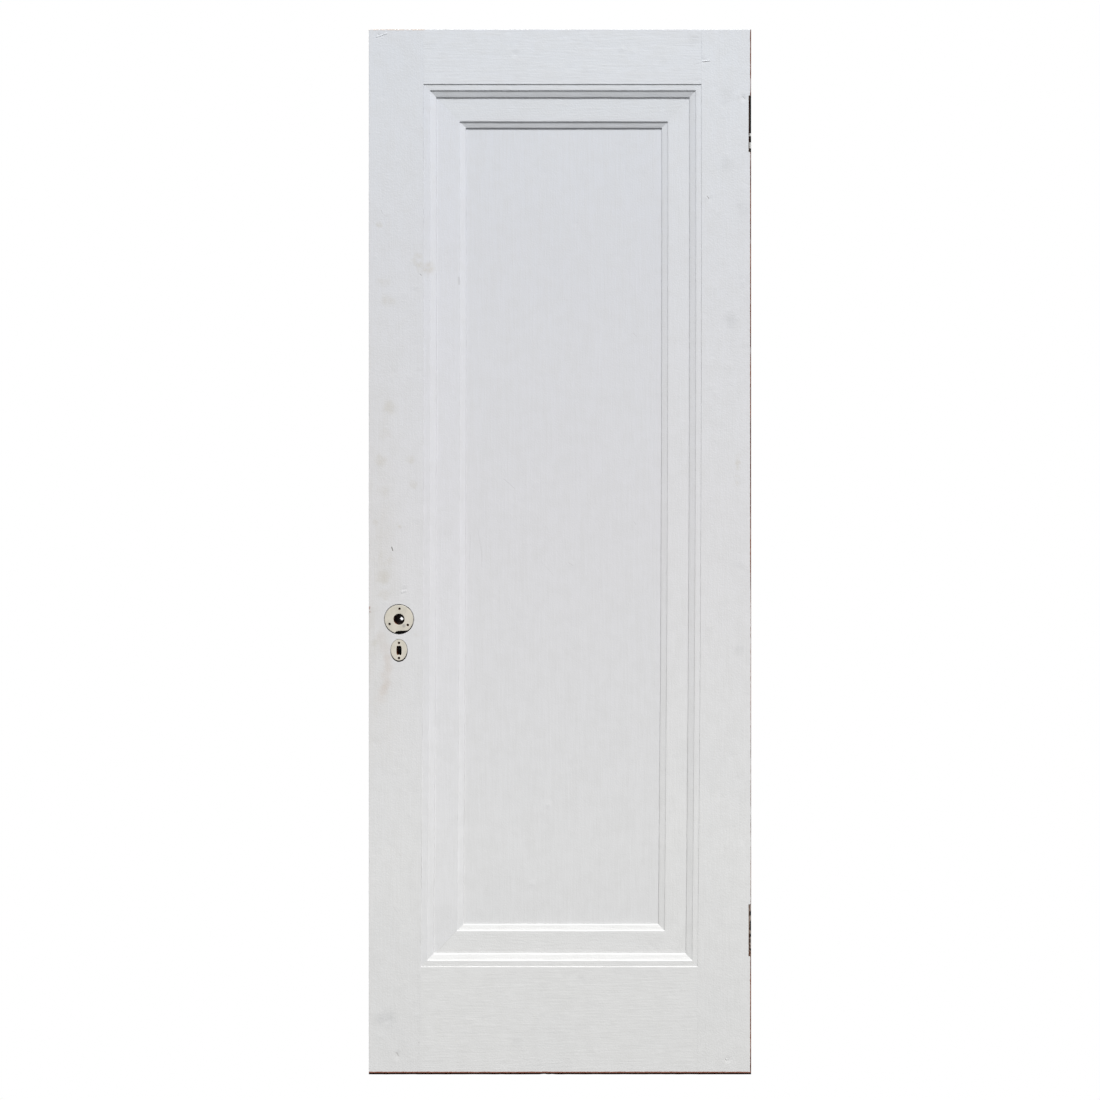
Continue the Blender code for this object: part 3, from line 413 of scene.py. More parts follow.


# where bare wood, dirt and painted shade begin: two lengths are the ends of a fade, three a band's ends and
# its softness
bareLook = {
    "ragged": 0.0022,
    "side": (leafWidth - 0.0013, leafWidth - 0.0008),
    "sideMore": 0.0010,  # how much farther in the side's wood is bare at the two heights below
    "upperSide": (0.92, 1.04),
    "lowerSide": (0.30, 0.22),
    "darkSide": (1.150, 1.290, 0.030),
    "topStain": (leafHeight - 0.0022, leafHeight - 0.0012),
    "topStainEnd": (0.116, 0.106),
    "bottom": (0.0061, 0.0053),
    # below this the bottom edge is painted near black: painted shade on the down-turned arris
    "bottomShade": (0.0043, 0.0033),
    "gainFloor": (leafWidth - 0.0053, leafWidth - 0.0048),
    "gainBack": (0.0390, 0.0385),
    "gainLedge": (0.0374, 0.0379),
    "gainWhite": ((1.8814, 1.8866, 0.0006), (1.8572, 1.8682, 0.0008)),
    "gainRoom": (0.0001, 0.0009),
    "cutSkin": (0.0006, 0.0003),
    "roseSeat": (0.0306, 0.0303),
    "keySeat": (0.0177, 0.0174),
    "roseBore": (0.0290, 0.0265),
    "keyBore": (0.0150, 0.0140),
    "screw": (0.0030, 0.0026),
    # where the seats are painted near black as shadow: under the key plate, and in the hollow below the
    # broken rose
    "shadeBelowKey": (-0.006, -0.014),  # from the key's height
    "shadeBelowHub": (0.026, -0.014, 0.006),  # from the key's height, from the hub's, and its softness
    "mortiseUp": (0.801, 0.956, 0.002),
    "mortiseFace": (0.0002, 0.0005),
    "mortiseDeep": (0.0105, 0.0340, 0.001),
}


# bare wood and old dirt where the paint ends: the hinge and bottom edges and the hinge gains, with painted
# shade: the bottom arris and parts of the gains darkened to near black
def bareEdges(kit, place, parts, colour):
    across, deep, up = parts
    ragged = (kit.noise(place, 170, 3.0, 0.7) - 0.5) * bareLook["ragged"]
    patches = kit.noise(kit.stretch(place, (1, 1, 0.22)), 85, 4.0, 0.65)
    woodGrain = kit.noise(kit.stretch(place, (1, 1, 0.03)), 420, 4.0, 0.65)
    wood = kit.mix(kit.fade(woodGrain, 0.35, 0.65), paintLook["darkWood"], paintLook["bareWood"])
    wood = kit.mix(kit.fade(patches, 0.52, 0.66) * 0.45, wood, colour)
    wood = kit.mix(kit.band(up, *bareLook["darkSide"]) * 0.55, wood, paintLook["darkWood"])
    wide = kit.fade(up, *bareLook["upperSide"]) | kit.fade(up, *bareLook["lowerSide"])
    side = kit.fade(across + ragged * 0.7 + wide * bareLook["sideMore"], *bareLook["side"])
    colour = kit.mix(side, colour, wood)
    stain = kit.fade(up, *bareLook["topStain"]) * kit.fade(across, *bareLook["topStainEnd"])
    colour = kit.mix(stain * (kit.fade(patches, 0.40, 0.55) * 0.5 + 0.15), colour, paintLook["topStain"])
    bottom = kit.fade(up + ragged * 0.8, *bareLook["bottom"])
    # the lowest band painted near black: painted shade under the down-turned bottom arris
    blackShade = kit.fade(up + ragged * 0.6, *bareLook["bottomShade"])
    colour = kit.mix(bottom, colour, kit.mix(blackShade, paintLook["bottomBrown"], paintLook["bottomWoodShade"]))
    covered = side | bottom
    inGain = kit.fade(across, *bareLook["gainFloor"]) * kit.fade(deep, *bareLook["gainBack"])
    room, soft = bareLook["gainRoom"]
    # each gain's colours: dirt and painted shade, with bits of white paint and of wood
    for dirtAndShade, (low, high) in zip(gainDirtAndShade(kit, place, parts, patches), hingeStile["gainRanges"]):
        inside = inGain * kit.band(up, low - room, high + room, soft)
        colour = kit.mix(inside, colour, dirtAndShade)
        covered = covered | inside
    return colour, covered


# colours of the upper and the lower gain: soiled floors, and ledges with bits of white paint or of clean
# wood;
# the near black on the upper gain and the lower ledge is dirt with painted shade
def gainDirtAndShade(kit, place, parts, patches):
    deep, up = parts[1:]
    ledge = kit.fade(deep, *bareLook["gainLedge"])
    soiled = kit.mix(kit.fade(patches, 0.40, 0.62), paintLook["darkWood"], paintLook["gainFloor"])
    white = kit.band(up, *bareLook["gainWhite"][0]) | kit.band(up, *bareLook["gainWhite"][1])
    # the upper gain darkened to near black: dirt and painted shade
    upper = kit.mix(white, paintLook["gainDirtAndShade"], paintLook["worn"])
    upper = kit.mix(ledge, kit.mix(0.6, soiled, paintLook["gainDirtAndShade"]), upper)
    splinters = kit.fade(kit.noise(place, 95, 3.0, 0.6), 0.45, 0.54)
    lower = kit.mix(splinters, paintLook["gainDirtAndShade"], paintLook["gainWood"])
    return upper, kit.mix(ledge, soiled, lower)


# old dirt and painted shade in the plates' seats, near-black painted shadow below the key plate, in the
# hollow below the rose and in the screw holes, and bare wood inside the bores and the mortise
def lockCuts(kit, place, parts, colour):
    across, deep, up = parts
    lock = lockStile["lock"]
    skin, soft = bareLook["cutSkin"]
    inside = kit.band(deep, skin, leafDepth - skin, soft)
    hub = kit.fromAxis(place, lock["axis"], lock["hub"])
    key = kit.fromAxis(place, lock["axis"], lock["key"], lock["keySeat"][0] / lock["keySeat"][1])
    seats = (kit.fade(hub, *bareLook["roseSeat"]) | kit.fade(key, *bareLook["keySeat"])) * inside
    patches = kit.noise(place, 110, 3.0, 0.6)
    # painted shadow, near black: the lower part of the key plate's seat and the hollow below the broken rose
    shadeBelow = kit.fade(up, *[lock["key"] + away for away in bareLook["shadeBelowKey"]])
    overKey, underHub, soft = bareLook["shadeBelowHub"]
    shadeBelow = shadeBelow | kit.band(up, lock["key"] + overKey, lock["hub"] + underHub, soft)
    clean = kit.fade(patches, 0.35, 0.60) * 0.45 + 0.1
    dirtAndShade = kit.mix(shadeBelow, kit.mix(clean, paintLook["oldDirtAndShade"], colour), paintLook["gainDirtAndShade"])
    colour = kit.mix(seats, colour, dirtAndShade)
    # screw holes painted near black: painted shade inside them
    screws = 0.0
    for screwAcross, screwUp in frontScrews():
        screws = kit.fade(kit.fromAxis(place, screwAcross, screwUp), *bareLook["screw"]) | screws
    colour = kit.mix(screws, colour, paintLook["gainDirtAndShade"])
    bores = kit.fade(hub, *bareLook["roseBore"]) | kit.fade(key, *bareLook["keyBore"])
    mortise = kit.band(up, *bareLook["mortiseUp"]) * kit.fade(across, *bareLook["mortiseFace"])
    raw = bores * inside | mortise * kit.band(deep, *bareLook["mortiseDeep"])
    fine = kit.fade(kit.noise(place, 400, 3.0, 0.6), 0.4, 0.6)
    wood = kit.mix(fine, paintLook["darkWood"], paintLook["bareWood"])
    return kit.mix(raw, colour, wood), seats | raw | screws


# the listed smudges, grime, drips and bare spots laid over a colour
def spotted(kit, warp, cloud, colour, look):
    for kind in ("greySmudge", "grime", "drip", "bareWood"):
        for markAcross, markUp, radius, strength in look.get(kind, ()):
            soft = 0.9 if kind == "greySmudge" else 0.5
            mask = kit.mark(warp, markAcross + 0.005, markUp + 0.005, radius, soft)
            if kind in ("greySmudge", "grime"):
                mask = mask * kit.fade(cloud, 0.25, 0.65)
            colour = kit.mix(mask * strength, colour, paintLook[kind])
    return colour


# the listed cracks, ridges and chips laid over a colour and a height
def scarred(kit, place, parts, warp, colour, height, look):
    wobble = (kit.noise(place, 45, 2.0, 0.5) - 0.5) * 0.003
    for start, end, width, strength in look.get("cracks", ()):
        crack = kit.line(parts, wobble, start, end, width) * strength
        colour = kit.mix(crack, colour, paintLook["crackFill"])
        height = height - crack * 2.0
    for start, end, width, rise in look.get("ridges", ()):
        height = height + kit.line(parts, wobble, start, end, width) * rise
    for chipAcross, chipUp, radius, rise in look.get("chips", ()):
        chip = kit.mark(warp, chipAcross + 0.005, chipUp + 0.005, radius, 0.35)
        colour = kit.mix(chip * (0.22 if rise < 0 else 0.0), colour, paintLook["crackFill"])
        height = height + chip * rise * 2.2
    return colour, height


# old brushed oil paint: tint by height with painted light in it (cooler and darker towards the top), streaks
# along the grain, mottling, grime, marks and cracks, the covers' bare wood, dirt and painted shade, with a
# second and dull shader where the paint is gone
def paintMaterial(name, look):
    material, kit, shader = startMaterial(name, roughness=0.42)
    place = kit.place()
    parts = kit.parts(place)
    across, up = parts[0], parts[2]
    along = {"up": (1, 1, 0.05), "across": (0.07, 1, 1)}[look["grain"]]
    streaks = kit.noise(kit.stretch(place, along), 260, 4.0, 0.6)
    brush = kit.noise(kit.stretch(place, along), 620, 3.0, 0.6)
    broad = kit.noise(place, 6.5, 3.0, 0.5)
    cloud = kit.noise(place, 38, 4.0, 0.6)
    stir = {0: kit.noise(place, 90, 3.0, 0.6, 1), 1: (0.010,) * 3, 2: place}
    warp = kit.node("ShaderNodeVectorMath", {"operation": "MULTIPLY_ADD"}, stir)
    # paint tint up the leaf, its cooler and darker top being painted light
    colour = kit.node("ShaderNodeValToRGB", {"stops": paintLook["tintsAndCoolCast"]}, {0: up * (1 / leafHeight)})
    colour = kit.mix(1.0, colour, look.get("tone", (1, 1, 1)), "MULTIPLY")
    colour = kit.mix(kit.fade(streaks, 0.35, 0.7) * 0.15, colour, paintLook["worn"])
    colour = kit.mix(kit.fade(cloud, 0.38, 0.66) * 0.13, colour, paintLook["worn"])
    colour = kit.mix(kit.fade(broad, 0.45, 0.75) * 0.10, colour, paintLook["greyed"])
    if "handDirt" in look:
        edge = kit.fade(across, 0.080, 0.020)
        reach = kit.fade(up, 0.56, 0.78) * kit.fade(up, 1.72, 1.15)
        smear = kit.noise(kit.stretch(place, (1, 1, 0.35)), 30, 4.0, 0.6)
        patchy = kit.fade(smear, 0.40, 0.68) * 0.65 + 0.35
        colour = kit.mix(edge * reach * patchy * 0.15, colour, paintLook["grime"])
    colour = spotted(kit, warp, cloud, colour, look)
    speckle = kit.noise(place, 330, 2.0, 0.6)
    drag = {"up": 1.0, "across": 1.35}[look["grain"]]
    height = (streaks + brush * 0.35) * drag + cloud * 0.5 + speckle * look.get("speckle", 1.5)
    colour, height = scarred(kit, place, parts, warp, colour, height, look)
    roughness = kit.fade(streaks, 0.2, 0.8) * 0.12 + kit.fade(broad, 0.3, 0.7) * 0.08 + 0.33
    bare = None
    for cover in look.get("covers", ()):
        colour, covered = cover(kit, place, parts, colour)
        bare = covered | bare if bare else covered
    bump = kit.node("ShaderNodeBump", {}, {"Strength": 1.0, "Distance": 0.0002, "Height": height})
    shaders = [shader]
    if bare:
        dull = material.node_tree.nodes.new("ShaderNodeBsdfPrincipled")
        dull.inputs["Specular IOR Level"].default_value = paintLook["bareGloss"]
        dull.inputs["Roughness"].default_value = 0.9
        shaders.append(dull)
        glossy, plain = [Wire(kit, each.outputs[0]) for each in shaders]
        both = kit.node("ShaderNodeMixShader", {}, {0: bare, 1: glossy, 2: plain})
        plug(kit, both, material.node_tree.nodes["Material Output"], "Surface")
    for each in shaders:
        plug(kit, colour, each, "Base Color")
        plug(kit, bump, each, "Normal")
    plug(kit, roughness, shader, "Roughness")
    return material


def paintOn(piece, material):
    piece.data.materials.clear()
    piece.data.materials.append(material)


# lock stile
lockStile = {
    "name": "lockStile",
    "upRange": (0, leafHeight),
    "left": (0.0, 0.0),
    "right": (
        lineAt(leaf["opening"][0], leaf["opening"][1], 0) - leaf["gap"],
        lineAt(leaf["opening"][0], leaf["opening"][1], leafHeight) - leaf["gap"],
    ),
    "arrises": {
        ("left", "front"): wornArris(0.001, 0.0004, 0.03, 11, ((0.423, 0.006, 0.0012), (1.05, 0.02, 0.0006))),
        ("left", "back"): wornArris(0.0011, 0.0004, 0.026, 12),
        ("right", "front"): wornArris(leaf["joint"], dents=((2.055, 0.035, 0.0003), (0.165, 0.045, 0.0002))),
        ("right", "back"): leaf["joint"],
        ("low", "front"): wornArris(0.0012, 0.0005, 0.012, 13),
        ("low", "back"): 0.0022,
        ("high", "front"): 0.0006,
        ("high", "back"): 0.0011,
    },
    "look": {
        "grain": "up",
        "seed": 21,
        "specks": 70,
        "marks": (
            (0.021, 2.072, 0.004, -0.0005), (0.070, 0.966, 0.005, -0.0006), (0.068, 0.958, 0.004, -0.0005),
            (0.056, 0.041, 0.005, -0.0006), (0.057, 0.034, 0.004, -0.0006), (0.037, 0.106, 0.005, -0.0004),
        ),
    },
    "lock": {
        "axis": 0.060325,
        "hub": 0.9074,
        "key": 0.8451,
        "mortise": (0.0890, 0.01395, 0.0305, 0.8248, 0.9317),  # reach, then its sides in depth and height
        "faceplate": (0.0027, 0.010825, 0.033625, 0.80175, 0.95475),
        "bore": 0.0120,
        "keyhole": (0.0051, 0.00925),  # half its width and height in the plate
        "keyholeRoom": 0.0005,
        "roseSeat": (0.030175, 0.030175),
        "keySeat": (0.01725, 0.02285),
        "seatDepth": 0.0010,
        "roseTurns": (87, 207, 327),
        "roseScrews": 0.021,
        "keyScrews": 0.0151,
        "pilot": 0.0018,
        "pilotDepth": 0.011,
        # the hollow that the broken rose lays open: its turn, reach, swell, and its ends away from the arc
        "hollowTurn": (-109, -49),
        "hollowReach": (0.0281, 0.0018),
        "hollowEnds": ((-0.002, -0.0208), (0.004, -0.0215)),
    },
}


# screw places of the rose and the key plate as across and up: three on a circle, and two above each other
def frontScrews(only=None):
    lock = lockStile["lock"]
    turns = np.radians(lock["roseTurns"])
    reach = lock["roseScrews"]
    rose = [(lock["axis"] + reach * math.cos(turn), lock["hub"] + reach * math.sin(turn)) for turn in turns]
    key = [(lock["axis"], lock["key"] + way * lock["keyScrews"]) for way in (-1, 1)]
    return {"rose": rose, "key": key, None: rose + key}[only]


# outline of the keyhole: a rounded rectangle |a/w|^n + |b/h|^n = 1 about its centre
def keyholeOutline(across, up, grow, count=48, power=5.0):
    angle = np.arange(count) * math.tau / count
    a, b = np.cos(angle), np.sin(angle)
    width, height = lockStile["lock"]["keyhole"]
    reach = (np.abs(a / (width + grow)) ** power + np.abs(b / (height + grow)) ** power) ** (-1 / power)
    return np.stack((across + a * reach, up + b * reach), -1)


def boxOutline(low, high, bottom, top):
    return [(low, bottom), (high, bottom), (high, top), (low, top)]


def makeLockStile():
    piece = makeBoard(lockStile)
    lock = lockStile["lock"]
    past = leaf["past"]
    axis, hub, key = lock["axis"], lock["hub"], lock["key"]
    through = (-past, leafDepth + past)
    carve(piece, [prism(boxOutline(*lock["mortise"][1:]), -past, lock["mortise"][0], "across")])
    carve(piece, [
        prism(boxOutline(*lock["faceplate"][1:]), -past, lock["faceplate"][0], "across"),
        prism(oval(axis, hub, lock["bore"], lock["bore"], 64), *through),
        prism(keyholeOutline(axis, key, lock["keyholeRoom"]), *through),
    ])
    seats = []
    for start, end in ((-past, lock["seatDepth"]), (leafDepth - lock["seatDepth"], leafDepth + past)):
        seats.append(prism(oval(axis, hub, *lock["roseSeat"], 96), start, end))
        seats.append(prism(oval(axis, key, *lock["keySeat"], 72), start, end))
    carve(piece, seats)
    holes = []
    for x, z in frontScrews():
        for start, end in ((-past, lock["pilotDepth"]), (leafDepth - lock["pilotDepth"], leafDepth + past)):
            holes.append(prism(oval(x, z, lock["pilot"], lock["pilot"], 16), start, end))
    share = np.linspace(0, 1, 32)
    angle = np.radians(lock["hollowTurn"][0] + (lock["hollowTurn"][1] - lock["hollowTurn"][0]) * share)
    reach = lock["hollowReach"][0] + lock["hollowReach"][1] * np.sin(math.pi * share) ** 0.6
    hollow = np.stack((axis + reach * np.cos(angle), hub + reach * np.sin(angle)), -1)
    ends = [(hollow[last][0] + away, hub + drop) for last, (away, drop) in zip((-1, 0), lock["hollowEnds"])]
    holes.append(prism(np.concatenate((hollow, ends)), -past, leafDepth / 2))
    carve(piece, holes)
    return piece


# hinge stile
hingeStile = {
    "name": "hingeStile",
    "upRange": (0, leafHeight),
    "left": (
        lineAt(leaf["opening"][3], leaf["opening"][2], 0) + leaf["gap"],
        lineAt(leaf["opening"][3], leaf["opening"][2], leafHeight) + leaf["gap"],
    ),
    "right": (leafWidth, leafWidth),
    "arrises": {
        ("right", "front"): wornArris(
            0.002, 0.0006, 0.02, 31, ((1.089, 0.009, 0.0015), (1.946, 0.007, 0.0012))
        ),
        ("right", "back"): wornArris(0.0016, 0.0005, 0.028, 32),
        ("left", "front"): wornArris(leaf["joint"], dents=((2.05, 0.03, 0.0003), (1.09, 0.86, 0.0003))),
        ("left", "back"): leaf["joint"],
        ("low", "front"): wornArris(0.0012, 0.0005, 0.012, 33),
        ("low", "back"): 0.0022,
        ("high", "front"): 0.0006,
        ("high", "back"): 0.0011,
    },
    "look": {
        "grain": "up",
        "seed": 41,
        "specks": 70,
        "marks": (
            (0.673, 1.747, 0.005, 0.0004), (0.678, 1.745, 0.004, -0.0005), (0.747, 1.946, 0.005, -0.0006),
            (0.666, 2.020, 0.006, -0.0004), (0.715, 0.030, 0.005, -0.0006),
        ),
    },
    "gainDepth": 0.0034,
    "gainBack": 0.0381,
    "gainRanges": ((1.8389, 1.9505), (0.2362, 0.3388)),
    "pilot": 0.0016,
    "pilotDepth": 0.022,
    "screwInset": 0.011,  # from the gain's front and back
    "screwEnds": (0.014, 0.028),  # from the gain's ends, for the front and the back ones
    # the ragged break along the gain's front edge: how deep, how far past the floor, and how much that varies
    "breakDepth": 0.0007,
    "breakReach": (0.0011, 0.0005),
}


def makeHingeStile():
    piece = makeBoard(hingeStile)
    past = leaf["past"]
    floor = leafWidth - hingeStile["gainDepth"]
    back = hingeStile["gainBack"]
    gains, breaks, pilots = [], [], []
    for low, high in hingeStile["gainRanges"]:
        gains.append(prism(boxOutline(-past, back, low, high), floor, leafWidth + past, "across"))
        ups = np.linspace(high - 0.0004, low + 0.0004, 60)
        reach, swing = hingeStile["breakReach"]
        inner = floor - reach + swing * drift(ups, 0, 0.006, 1, 37)
        outline = [(leafWidth + past, ups[-1]), (leafWidth + past, ups[0]), *zip(inner, ups)]
        breaks.append(prism(outline, -past, hingeStile["breakDepth"]))
        inset, (outer, middle) = hingeStile["screwInset"], hingeStile["screwEnds"]
        screws = [(inset, low + outer), (back - inset, low + middle)]
        screws += [(back - inset, high - middle), (inset, high - outer)]
        for deep, up in screws:
            hole = oval(deep, up, hingeStile["pilot"], hingeStile["pilot"], 16)
            pilots.append(prism(hole, floor - hingeStile["pilotDepth"], floor + past, "across"))
    for tools in (gains, breaks, pilots):
        carve(piece, tools)
    return piece


# rails
def railSettings(name, low, high, outerArris, look):
    left, right = leaf["opening"][:2], (leaf["opening"][3], leaf["opening"][2])
    return {
        "name": name,
        "upRange": (low, high),
        "left": (lineAt(*left, low) + leaf["gap"], lineAt(*left, high) + leaf["gap"]),
        "right": (lineAt(*right, low) - leaf["gap"], lineAt(*right, high) - leaf["gap"]),
        "arrises": {
            ("left", "front"): leaf["joint"],
            ("right", "front"): leaf["joint"],
            ("left", "back"): leaf["joint"],
            ("right", "back"): leaf["joint"],
            **outerArris,
        },
        "look": look,
    }


topRail = railSettings(
    "topRail", leaf["opening"][1][1], leafHeight,
    {
        ("high", "front"): wornArris(0.0006, 0.0003, 0.03, 51),
        ("high", "back"): 0.0011,
        ("low", "front"): 0.0003,
        ("low", "back"): 0.0006,
    },
    {
        "grain": "across",
        "seed": 53,
        "specks": 30,
        "marks": ((0.292, 2.034, 0.005, -0.0005), (0.505, 2.044, 0.005, 0.0004)),
    },
)
bottomRail = railSettings(
    "bottomRail", 0, leaf["opening"][0][1],
    {
        ("low", "front"): wornArris(
            0.0013, 0.0006, 0.011, 61, ((0.349, 0.006, 0.0025), (0.365, 0.005, 0.002))
        ),
        ("low", "back"): 0.0022,
        ("high", "front"): 0.0006,
        ("high", "back"): 0.0006,
    },
    {"grain": "across", "seed": 63, "specks": 50, "marks": ((0.423, 0.186, 0.006, -0.0002),)},
)


# panel frame
panelFrame = {
    # run inwards from the joint, and depth from the front face
    "steps": (
        (0, 0.0013), (0.0122, 0), (0, 0.0012), (0.0119, 0.0029), (0, 0.0020),
        (0.0464, 0), (0, 0.0015), (0.0115, 0.0025), (0, 0.0020),
    ),
    # where the section's edges lie on the left, top, right and bottom members
    "edges": (
        (0, 0.0122, 0.0241, 0.0705, 0.0820),
        (0, 0.0122, 0.0246, 0.0724, 0.0839),
        (0, 0.0113, 0.0239, 0.0673, 0.0798),
        (0, 0.0122, 0.0241, 0.0698, 0.0813),
    ),
    "soften": 0.0005,
    "grooveDepth": 0.010,
    "crossStep": 0.0045,
    "alongStep": 0.0045,
    "lineWave": 0.00022,
}


# unit vector from a side of the opening to its middle: the side's own direction turned by a quarter
def inwards(index):
    side = np.subtract(leaf["opening"][(index + 1) % 4], leaf["opening"][index % 4])
    return np.array((side[1], -side[0])) / np.hypot(*side)


# opening corner moved inwards, by one distance from the side before it and another from the side after it:
# corner + a * first + b * second, a = (before - k * after) / (1 - k^2), b likewise, k = first . second
def insetCorner(index, before, after):
    before, after = np.asarray(before, float)[..., None], np.asarray(after, float)[..., None]
    first, second = inwards(index - 1), inwards(index)
    k = first @ second
    shift = (before - k * after) * first + (after - k * before) * second
    return np.array(leaf["opening"][index % 4]) + shift / (1 - k * k)


# distances of the first member's section, as they lie on another member
def runsOf(index, runs):
    return np.interp(runs, panelFrame["edges"][0], panelFrame["edges"][index % 4])


# a line of points, each corner replaced by a short curve, (1-t)^2 a + 2t(1-t) b + t^2 c, and long stretches
# divided
def softLine(points, radius, step):
    points = np.asarray(points, float)
    made = [points[0]]
    for before, corner, after in zip(points, points[1:], points[2:]):
        inward, outward = before - corner, after - corner
        lengths = np.hypot(*inward), np.hypot(*outward)
        start = corner + inward / lengths[0] * min(radius, 0.48 * lengths[0])
        end = corner + outward / lengths[1] * min(radius, 0.48 * lengths[1])
        t = np.linspace(0, 1, 5)[:, None]
        made += list((1 - t) ** 2 * start + 2 * t * (1 - t) * corner + t * t * end)
    made.append(points[-1])
    filled = [made[0]]
    for first, second in zip(made, made[1:]):
        count = max(1, math.ceil(np.hypot(*(second - first)) / step))
        filled += [first + (second - first) * (n + 1) / count for n in range(count)]
    return np.array(filled)


# one side of the panel frame: its section, added up from the steps, carried along the opening's side from
# mitre to mitre
def makeMember(name, index, look):
    corners = np.cumsum(panelFrame["steps"], axis=0)
    run, deep = corners[-1]
    front = softLine(corners, panelFrame["soften"], panelFrame["crossStep"])
    grooveRun = run - panelFrame["grooveDepth"]
    back = front[::-1] * (1, -1) + (0, leafDepth)
    section = np.concatenate((front, [(grooveRun, deep), (grooveRun, leafDepth - deep)], back))
    before, runs, after = [runsOf(index + way, section[:, 0]) + leaf["gap"] for way in (-1, 0, 1)]
    depths = section[:, 1]
    start, end = insetCorner(index, before, runs), insetCorner(index + 1, runs, after)
    length = np.hypot(*(end[0] - start[0]))
    share = np.linspace(0, 1, round(length / panelFrame["alongStep"]) + 1)
    place = start[:, None] + (end - start)[:, None] * share[None, :, None]
    ease = np.clip(np.minimum(share, 1 - share) * length / 0.05, 0.25, 1)
    wave = drift(runs[:, None], share[None, :] * length, 0.025, 0.06, look["seed"])
    wave = panelFrame["lineWave"] * wave * ease[None, :]
    place = place + wave[..., None] * inwards(index)
    height = paintHeight(place[..., 0], place[..., 1], look)
    side = np.where(depths < leafDepth / 2, -1.0, 1.0)
    shown = np.ones(len(runs))
    shown[len(front): len(front) + 2] = 0
    points = toFrame(place[..., 0], depths[:, None] + (side * shown)[:, None] * height, place[..., 1])
    count, steps = len(runs), len(share)
    numbers = np.arange(count * steps).reshape(count, steps)
    numbers = np.concatenate((numbers, numbers[:1]))
    return meshPiece(name, points, gridQuads(numbers), (numbers[:-1, 0], numbers[:-1, -1]))


panelBoard = {
    "name": "panelBoard",
    "tongue": 0.0075,  # how far the board reaches into the members' groove
    "deepRange": (0.0136, leafDepth - 0.0136),
    "arrises": {},
    "rim": (0, 0.003, 0.006),
    "deepRim": (0, 0.004),
    "step": 0.0042,
    "look": {
        "grain": "up",
        "seed": 81,
        "specks": 60,
        "wave": 0.00022,
        "marks": (
            (0.353, 0.535, 0.005, 0.0005), (0.323, 0.377, 0.005, 0.0005), (0.401, 1.017, 0.004, 0.0003),
        ),
    },
}


def makePanel():
    inset = [edges[-1] - panelBoard["tongue"] for edges in panelFrame["edges"]]
    corners = [insetCorner(index, inset[index - 1], inset[index]) for index in range(4)]
    upRange = (corners[0][1], corners[1][1])
    sides = {"left": (corners[0][0], corners[1][0]), "right": (corners[3][0], corners[2][0])}
    return makeBoard(dict(panelBoard, upRange=upRange, **sides))


# knob and keyhole plates
plateLook = {
    "front": (-0.0005, 0.0007),
    "back": (0.04375, 0.04495),
    "ease": 0.0003,
    "rose": (0.0111, 0.028575),  # radius of its hole and of its rim
    "keyPlate": (0.01665, 0.02225),
    "keyNick": 0.0011,
    "screwHole": 0.0021,
    # the piece lost from the rose: how far its edge lies below the hub, by distance from the axis
    "biteAcross": (-0.0092, -0.0088, -0.0065, -0.0045, -0.0015, 0.003, 0.010, 0.015, 0.0183, 0.0188),
    "biteDrop": (0.03, 0.0273, 0.0255, 0.0243, 0.0235, 0.02315, 0.0231, 0.0227, 0.0221, 0.03),
}


# a plate as a closed ring: at each angle a loop of points between an inner and an outer reach, with its outer
# arris eased and its shown face dipping a little, and the screw holes cut
def makePlate(name, side, centre, inner, outer, screws):
    count = len(inner)
    outwards = -1 if side == "front" else 1
    shown, hidden = plateLook[side][::-outwards]
    drops = (0.3, 0.05, 0, 0, 0, 0, 0, 0.25, 1.0)
    depths = [shown - outwards * plateLook["ease"] * drop for drop in drops] + [hidden] * 4
    angle = np.arange(count) * math.tau / count
    across, deep, up = [], [], []
    for number, share in enumerate((0, 0.06, 0.2, 0.4, 0.6, 0.8, 0.94, 0.985, 1.0, 1.0, 0.66, 0.33, 0.0)):
        reach = inner + (outer - inner) * share
        across.append(centre[0] + np.cos(angle) * reach)
        up.append(centre[1] + np.sin(angle) * reach)
        dip = -0.00002 * outwards * (1 + drift(across[-1], up[-1], 0.008, 0.008, 5)) * (number < 8)
        deep.append(depths[number] + dip)
    points = toFrame(np.array(across), np.array(deep), np.array(up))
    numbers = np.arange(len(depths) * count).reshape(len(depths), count)
    numbers = np.concatenate((numbers, numbers[:1]))
    numbers = np.concatenate((numbers, numbers[:, :1]), 1)
    piece = meshPiece(name, points, gridQuads(numbers))
    radius = plateLook["screwHole"]
    low, high = plateLook[side][0] - leaf["past"], plateLook[side][1] + leaf["past"]
    carve(piece, [prism(oval(x, z, radius, radius, 24), low, high) for x, z in screws])
    return piece


# the knob's plate; the front one's outer points are drawn in to the edge of the lost piece, in eight rounds
def makeRose(name, side):
    lock = lockStile["lock"]
    hole, rim = plateLook["rose"]
    count = 240
    angle = np.arange(count) * math.tau / count
    outer = np.full(count, rim)
    if side == "front":
        drop = -np.sin(angle)
        for turn in range(8):
            line = np.interp(outer * np.cos(angle), plateLook["biteAcross"], plateLook["biteDrop"])
            outer = np.where(drop > 0.3, np.minimum(rim, line / np.maximum(drop, 0.3)), rim)
    centre = (lock["axis"], lock["hub"])
    return makePlate(name, side, centre, np.full(count, hole), outer, frontScrews("rose"))


